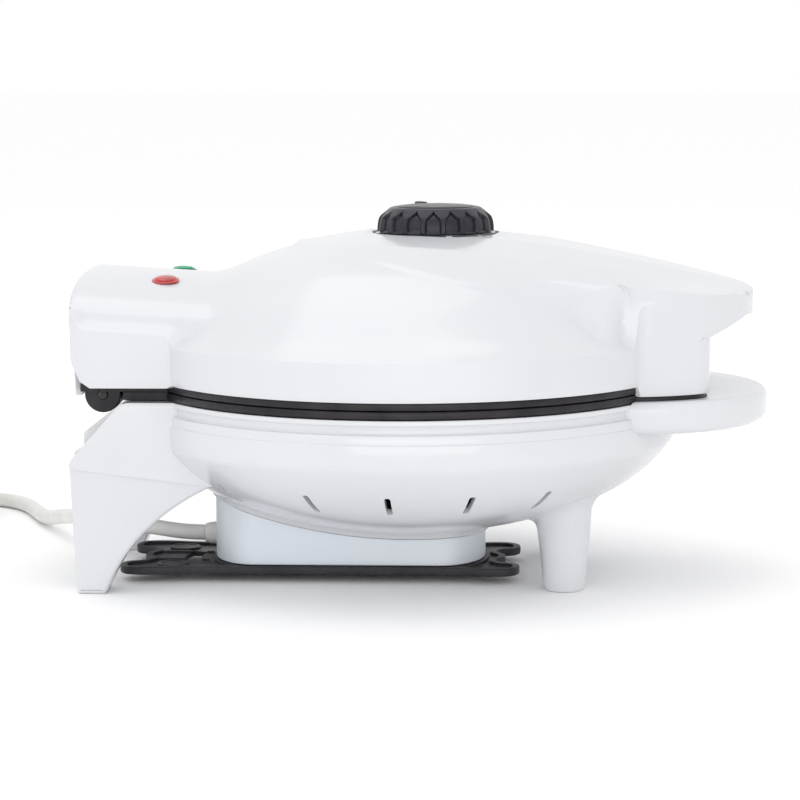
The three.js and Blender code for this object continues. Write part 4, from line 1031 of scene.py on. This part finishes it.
def makeLowerShell(s):
    top = s["deckTop"]
    shell = turnedPiece("lowerShell", [*bowlProfile(), (0, top)], s["bowlSteps"], "shellWhite")
    handleLine = [(60, -s["handleHalf"])]
    handleLine += [(s["handleRoot"] + (s["handleTip"] - s["handleRoot"]) * math.cos(t), s["handleHalf"] * math.sin(t))
                   for t in np.linspace(-math.pi / 2, math.pi / 2, 90)]
    handleLine.append((60, s["handleHalf"]))
    added = [slabPiece("handle", np.array(handleLine), s["handleLow"], s["handleHigh"], "shellWhite",
                       s["handleRound"], s["handleRound"] * 0.8, 8)]
    for side in (-1, 1):
        added += [legPiece(s, side), footShape(s, side)]
    added.append(sideSlabPiece("rearDeck", louvreOutline(), -s["deckHalf"], s["deckHalf"], "shellWhite"))
    upper = legOutline(0)
    upper = upper[upper[:, 1] > s["deckEndFrom"]]
    added += [sideSlabPiece("deckEnd", upper, low, high, "shellWhite") for low, high in bothSides(*s["deckEnd"])]
    collar = slabPiece("collar", drumPlan(s["collarGrow"]), 16.0, 60.0, "shellWhite")
    sunk = s["collarUnderBowl"]
    lowered = turnedPiece("loweredBowl", [*[(r, z - sunk) for r, z in bowlProfile()], (0, 81)], s["cutterSteps"],
                          "shellWhite")
    added.append(combine(collar, [lowered], "INTERSECT"))
    combine(shell, added, "UNION")
    half, front, root, low = s["earRecess"]
    narrower, mouthLow, mouthHigh = s["drumMouth"]
    cuts = [turnedPiece("inside", bowlInside(s), s["cutterSteps"], "shellWhite"),
            blockPiece("deckMouth", *s["deckMouth"], "shellWhite"),
            rodPiece("plateRecess", s["recessRadius"], top, 100, "shellWhite", steps=s["cutterSteps"]),
            slabPiece("drumTop", drumPlan(narrower), mouthLow, mouthHigh, "shellWhite"),
            slabPiece("earRecess", frontPlan(half, front, root), low, 100, "shellWhite")]
    (x0, x1), (z0, z1) = s["slotX"], s["slotZ"]
    cuts += [blockPiece("rearSlot", (x0, y0, z0), (x1, y1, z1), "shellWhite") for y0, y1 in bothSides(*s["louvreSlot"])]
    combine(shell, cuts, "DIFFERENCE")
    vent = ventCutter(s)
    for start, step, count in ((54.0, 19.2, 4), (-54.0, -19.2, 4), (138.0, 84.0, 2)):
        repeat(shell, cutTree, vent, count, "shellWhite", start=start, step=step)
    asPlainMesh(shell)
    remove(vent)
    closeSeams(shell)
    smoothBy(shell, 30)
    return shell


lowerShell = makeLowerShell(shellSettings)
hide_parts("lower_shell")
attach(lowerShell, "base")
print("lower shell made,", len(lowerShell.data.polygons), "faces")


# The baking plates
plateSettings = {
    "radius": 115.9, "thick": 3.35, "parting": 88.0, "gap": 0.15, "count": 6, "ringRadius": 70.0, "coreR": 21.0,
    "tubeR": 12.0, "bossR": 36.0, "floor": 3.3, "edge": 0.8,
    "hingeX": -131.0, "hingeZ": 86.4, "pinHole": 2.3, "earFrom": 96, "earRound": 0.5,
    "webX": (-121.5, -90), "webHalf": 54, "steps": 240, "cakeSteps": 64,
}


def hollowShape(s, side):
    # Half of a ring cake about its own axis, with the plate's face at height 0.
    profile = [(s["coreR"] - s["tubeR"], 2 * side)]
    for t in np.linspace(0, math.pi, 25):
        profile.append((s["coreR"] - s["tubeR"] * math.cos(t), -side * s["tubeR"] * math.sin(t)))
    profile.append((s["coreR"] + s["tubeR"], 2 * side))
    return atOrigin("cakeHollow", *closedTurnedShape(profile, s["cakeSteps"]), "bakingCoat")


def bossShape(s, side):
    end = -side * (s["tubeR"] + s["floor"])
    profile = [(0, -side), (s["bossR"], -side), (s["bossR"], end * 0.72), (s["bossR"] - 4, end * 0.92),
               (s["bossR"] - 8, end), (10, end), (0, end)]
    return atOrigin("cakeBoss", *turnedShape(profile, s["cakeSteps"]), "bakingCoat")


def crossRodPiece(name, x, z, radius, y0, y1, finishName, steps=40):
    angles = fullTurn(steps)
    edge = min(0.5, abs(y1 - y0) / 4)
    rings = []
    for y, r in ((y0, radius - edge), (y0 + edge, radius), (y1 - edge, radius), (y1, radius - edge)):
        rings.append(np.stack([x + r * np.cos(angles), np.full(steps, y), z + r * np.sin(angles)], -1))
    return newPiece(name, *stackRings(rings), finishName)


def makePlate(name, s, side, ears, lugs):
    face = s["parting"] - side * s["gap"]
    behind = face - side * s["thick"]
    low, high = sorted((face, behind))
    e = s["edge"]
    disc = turnedPiece(name, [(0, low), (s["radius"] - e, low), (s["radius"] - 0.25, low + 0.25),
                              (s["radius"], low + e), (s["radius"], high - e), (s["radius"] - 0.25, high - 0.25),
                              (s["radius"] - e, high), (0, high)], s["steps"], "bakingCoat")
    boss = bossShape(s, side)
    cakes = ((s["count"], s["ringRadius"]), (1, 0.0)) # round the ring, and at the middle
    copied = []
    for count, ringRadius in cakes:
        copies = newPiece("bosses", np.zeros((0, 3)), [], "bakingCoat")
        repeat(copies, copyTree, boss, count, "bakingCoat", ringRadius, (0, 0, face))
        copied = splitLoose(asPlainMesh(copies)) + copied
    combine(disc, [*copied, *ears, *lugs], "UNION")
    remove(boss)
    hollow = hollowShape(s, side)
    for count, ringRadius in cakes:
        repeat(disc, cutTree, hollow, count, "bakingCoat", ringRadius, (0, 0, face))
    asPlainMesh(disc)
    remove(hollow)
    combine(disc, [crossRodPiece("pinHole", s["hingeX"], s["hingeZ"], s["pinHole"], -70, 70, "bakingCoat")],
            "DIFFERENCE")
    closeSeams(disc)
    smoothBy(disc, 30)
    return disc


def splitLoose(piece):
    # Copies may overlap their neighbours, so each becomes an object of its own before they are united.
    shape = bmesh.new()
    shape.from_mesh(piece.data)
    seen, parts = set(), []
    for first in shape.verts:
        if first.index in seen:
            continue
        found, queue = {first.index: first}, [first]
        while queue:
            for edge in queue.pop().link_edges:
                for v in edge.verts:
                    if v.index not in found:
                        found[v.index] = v
                        queue.append(v)
        seen.update(found)
        order = {index: i for i, index in enumerate(sorted(found))}
        faces = {f.index: [order[v.index] for v in f.verts] for v in found.values() for f in v.link_faces}
        parts.append(newPiece(piece.name + "Part", np.array([found[i].co[:] for i in order]),
                              [faces[i] for i in sorted(faces)], "bakingCoat", inFrame=True))
    shape.free()
    remove(piece)
    return parts


def plateParts(s, side, form):
    # The ear at the front, the web at the back, and the lugs and arms that reach the hinge.
    face = s["parting"] - side * s["gap"]
    low, high = sorted((face, face - side * s["thick"]))
    half, front, earLow, earHigh = form["ear"]
    (x0, x1), web = s["webX"], s["webHalf"]
    ears = [slabPiece("frontEar", frontPlan(half, front, s["earFrom"]), earLow, earHigh, "bakingCoat", s["earRound"],
                      s["earRound"], 3),
            blockPiece("rearWeb", (x0, -web, low), (x1, web, high), "bakingCoat")]
    lugs = [crossRodPiece("lug", s["hingeX"], s["hingeZ"], form["lugRadius"], y0, y1, "bakingCoat")
            for y0, y1 in bothSides(*form["lug"])]
    x0, x1 = form["armX"]
    lugs += [blockPiece("lugArm", (x0, y0, low), (x1, y1, high), "bakingCoat") for y0, y1 in bothSides(*form["arm"])]
    return ears, lugs


plateForms = {
    "lowerPlate": {"ear": (61.0, 129.5, 83.4, 86.9), "lugRadius": 7.5, "lug": (28, 39.4), "arm": (28, 39.4),
                   "armX": (-131.0, -110)},
    "upperPlate": {"ear": (56.0, 126.0, 88.15, 91.5), "lugRadius": 7.9, "lug": (40, 50), "arm": (40, 54),
                   "armX": (-140, -90)},
}
for name, side, node, body in (("lowerPlate", 1, "lower_plate", "base"), ("upperPlate", -1, "upper_plate", "lid")):
    bakingPlate = makePlate(name, plateSettings, side, *plateParts(plateSettings, side, plateForms[name]))
    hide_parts(*(n for n in nodes if n.startswith(node) and "screw" not in n))
    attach(bakingPlate, body)
    print(name, "made,", len(bakingPlate.data.polygons), "faces")


# The drum and the tray that hold the wound lead
drumSettings = {
    "low": 7.2, "wall": 2.5, "edge": 0.77, "underBowl": 3.3, "relief": ((22, -60, 21), (60, 60, 60)), "leadHole": 4.9,
}


def makeDrum(s):
    drum = slabPiece("cordDrum", drumPlan(0, 40), s["low"], 44, "drumWhite", s["edge"], 0.0, 5)
    under = turnedPiece("underBowl", [*[(r, z - s["underBowl"]) for r, z in bowlProfile()], (0, 150)], 192, "drumWhite")
    core = slabPiece("drumCore", drumPlan(-s["wall"]), s["low"] - 1, 45, "drumWhite")
    relief = blockPiece("frontRelief", *s["relief"], "drumWhite")
    wide = s["leadHole"]
    hole = newPiece("leadHole", *alongAxis([(0, -6), (wide, -6), (wide, 8), (0, 8)], 32, leadSettings["exit"],
                                           leadSettings["exitHeading"]), "drumWhite")
    combine(drum, [core, under, relief, hole], "DIFFERENCE")
    smoothBy(drum, 30)
    return drum


traySettings = {
    "low": 3.4, "high": 6.9, "lip": 3.0, "lipDeep": 1.2, "screws": ((-62, 17), (-62, -17), (10, 17), (10, -17)),
    "pads": ((-106, -20), (-106, 20)), "ribX": (-115, -91), "ribY": 9,
    "half": [(42.4, 0), (41.9, 4), (39, 8), (38.3, 11.6), (40.8, 14.8), (45.2, 16), (48.2, 19.5), (49, 24), (47.6, 29),
             (43.5, 32.4), (37, 33), (30, 31.6), (23, 30.3), (0, 30.2), (-45, 30.2), (-88, 30.2), (-96, 30.3),
             (-104, 31.1), (-112, 32.6), (-119, 33), (-125.5, 31.5), (-128.6, 27), (-129, 22), (-127, 17.5),
             (-122, 15), (-118.4, 11.6), (-118.3, 8), (-120.6, 4), (-121.4, 0)],
}


def trayPlan(s, inset):
    # Straight sides and two lobes at each end, rounded by a spline through the corners.
    half = s["half"]
    whole = np.array([*half, *[(x, -y) for x, y in half[-2:0:-1]]])
    before, after, beyond = np.roll(whole, 1, 0), np.roll(whole, -1, 0), np.roll(whole, -2, 0)
    line = []
    for a, b, c, d in zip(before, whole, after, beyond):
        reach = math.dist(b, c)
        out = (c - a) / max(math.dist(c, a), 1e-6) * reach
        back = (d - b) / max(math.dist(d, b), 1e-6) * reach
        for t in np.linspace(0, 1, 5)[:-1]:
            line.append((2 * t ** 3 - 3 * t * t + 1) * b + (t ** 3 - 2 * t * t + t) * out
                        + (3 * t * t - 2 * t ** 3) * c + (t ** 3 - t * t) * back)
    line = np.array(line)
    return insetLine(line, inset) if inset else line


def makeTray(s):
    tray = slabPiece("cordTray", trayPlan(s, 0), s["low"], s["high"], "trayBlack", 0.7, 0.5, 4)
    pocket = slabPiece("pocket", trayPlan(s, s["lip"]), s["high"] - s["lipDeep"], 12, "trayBlack")
    seat = slabPiece("seat", drumPlan(1.5), s["low"] + 0.2, s["high"] - 0.02, "trayBlack", 0.0, 0.4, 3)
    combine(tray, [pocket], "DIFFERENCE")
    pads = [turnedPiece("pad", [(0, s["low"] + 0.2), (7, s["low"] + 0.2), (7, 6.3), (6.7, 6.65), (5.6, 6.7),
                                (5.3, 6.4), (0, 6.3)], 48, "trayBlack", x, y) for x, y in s["pads"]]
    x0, x1 = s["ribX"]
    ribs = [blockPiece("rib", (x0, y - 0.6, 4.0), (x1, y + 0.6, 6.5), "trayBlack") for y in (-s["ribY"], s["ribY"])]
    combine(tray, [seat, *pads, *ribs], "UNION")
    bend = np.radians(np.linspace(160, 200, 14))
    slot = [(-70 + long * math.cos(t), wide * math.sin(t)) for long, wide, turns in ((33, 36, bend),
                                                                                     (25.5, 30, bend[::-1]))
            for t in turns]
    slotCutter = slabPiece("slot", np.array(slot), 0, 20, "trayBlack")
    wells = [turnedPiece("screwWell", [(0, 0), (3.3, 0), (3.3, 5.8), (1.8, 5.8), (1.8, 20), (0, 20)], 32, "trayBlack",
                         x, y) for x, y in s["screws"]]
    combine(tray, [slotCutter, *wells], "DIFFERENCE")
    smoothBy(tray, 30)
    return tray


cordDrum, cordTray = makeDrum(drumSettings), makeTray(traySettings)
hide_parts("cord_drum")
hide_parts("cord_tray")
for piece in (cordDrum, cordTray):
    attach(piece, "base")
print("drum and tray made")


# Finishes of the pieces kept from the frame
keptFinishes = {
    "element": "elementSteel", "reflector": "sheetAluminium", "terminal": "ceramicCream", "thermostat": "ceramicCream",
    "thermal": "ceramicCream", "bulb": "bulbClear", "screw": "screwSteel", "hinge": "pinBlack", "pin": "screwSteel",
    "shaft": "screwSteel",
}
for name, node in nodes.items():
    if node.hide_render:
        continue
    chosen = "screwSteel" if "shaft" in name else next((v for k, v in keptFinishes.items() if k in name), "screwSteel")
    node.data.materials.clear()
    node.data.materials.append(finish[chosen])
print("kept pieces finished")


# Floor, lights and surroundings
studio = {
    "floorSize": 40.0, "floorColour": (0.985, 0.985, 0.985), "worldColour": (1.0, 1.0, 1.0), "worldStrength": 1.0,
    "lights": [
        {"name": "overhead", "place": (-0.3, 0.1, 1.7), "size": (1.6, 1.2), "power": 5.0},
        {"name": "frontSoft", "place": (-1.1, -1.4, 0.9), "size": (0.9, 0.9), "power": 1.2},
        {"name": "lowFill", "place": (0.1, -1.6, 0.25), "size": (1.6, 0.6), "power": 4.5},
    ],
}


def makeFloor(s):
    half = s["floorSize"] / 2
    mesh = bpy.data.meshes.new("floor")
    mesh.from_pydata([(-half, -half, 0), (half, -half, 0), (half, half, 0), (-half, half, 0)], [], [(0, 1, 2, 3)])
    floor = bpy.data.objects.new("floor", mesh)
    bpy.context.scene.collection.objects.link(floor)
    paper = makeFinish("floorPaper", {"colour": s["floorColour"], "second": s["floorColour"], "patch": 2,
                                      "rough": (0.85, 0.95), "grain": 300, "bump": 0.01})
    mesh.materials.append(paper)


def makeLights(s):
    for each in s["lights"]:
        data = bpy.data.lights.new(each["name"], "AREA")
        data.shape = "RECTANGLE"
        data.size, data.size_y = each["size"]
        data.energy = each["power"]
        lamp = bpy.data.objects.new(each["name"], data)
        bpy.context.scene.collection.objects.link(lamp)
        lamp.location = each["place"]
        lamp.rotation_mode = "QUATERNION"
        lamp.rotation_quaternion = (Vector((0, 0, 0.08)) - Vector(each["place"])).to_track_quat("-Z", "Y")
    world = bpy.data.worlds.new("studioWorld")
    world.use_nodes = True
    world.node_tree.nodes["Background"].inputs["Color"].default_value = (*s["worldColour"], 1)
    world.node_tree.nodes["Background"].inputs["Strength"].default_value = s["worldStrength"]
    bpy.context.scene.world = world
    bpy.context.scene.view_settings.view_transform = "Standard"


makeFloor(studio)
makeLights(studio)
print("studio lit")
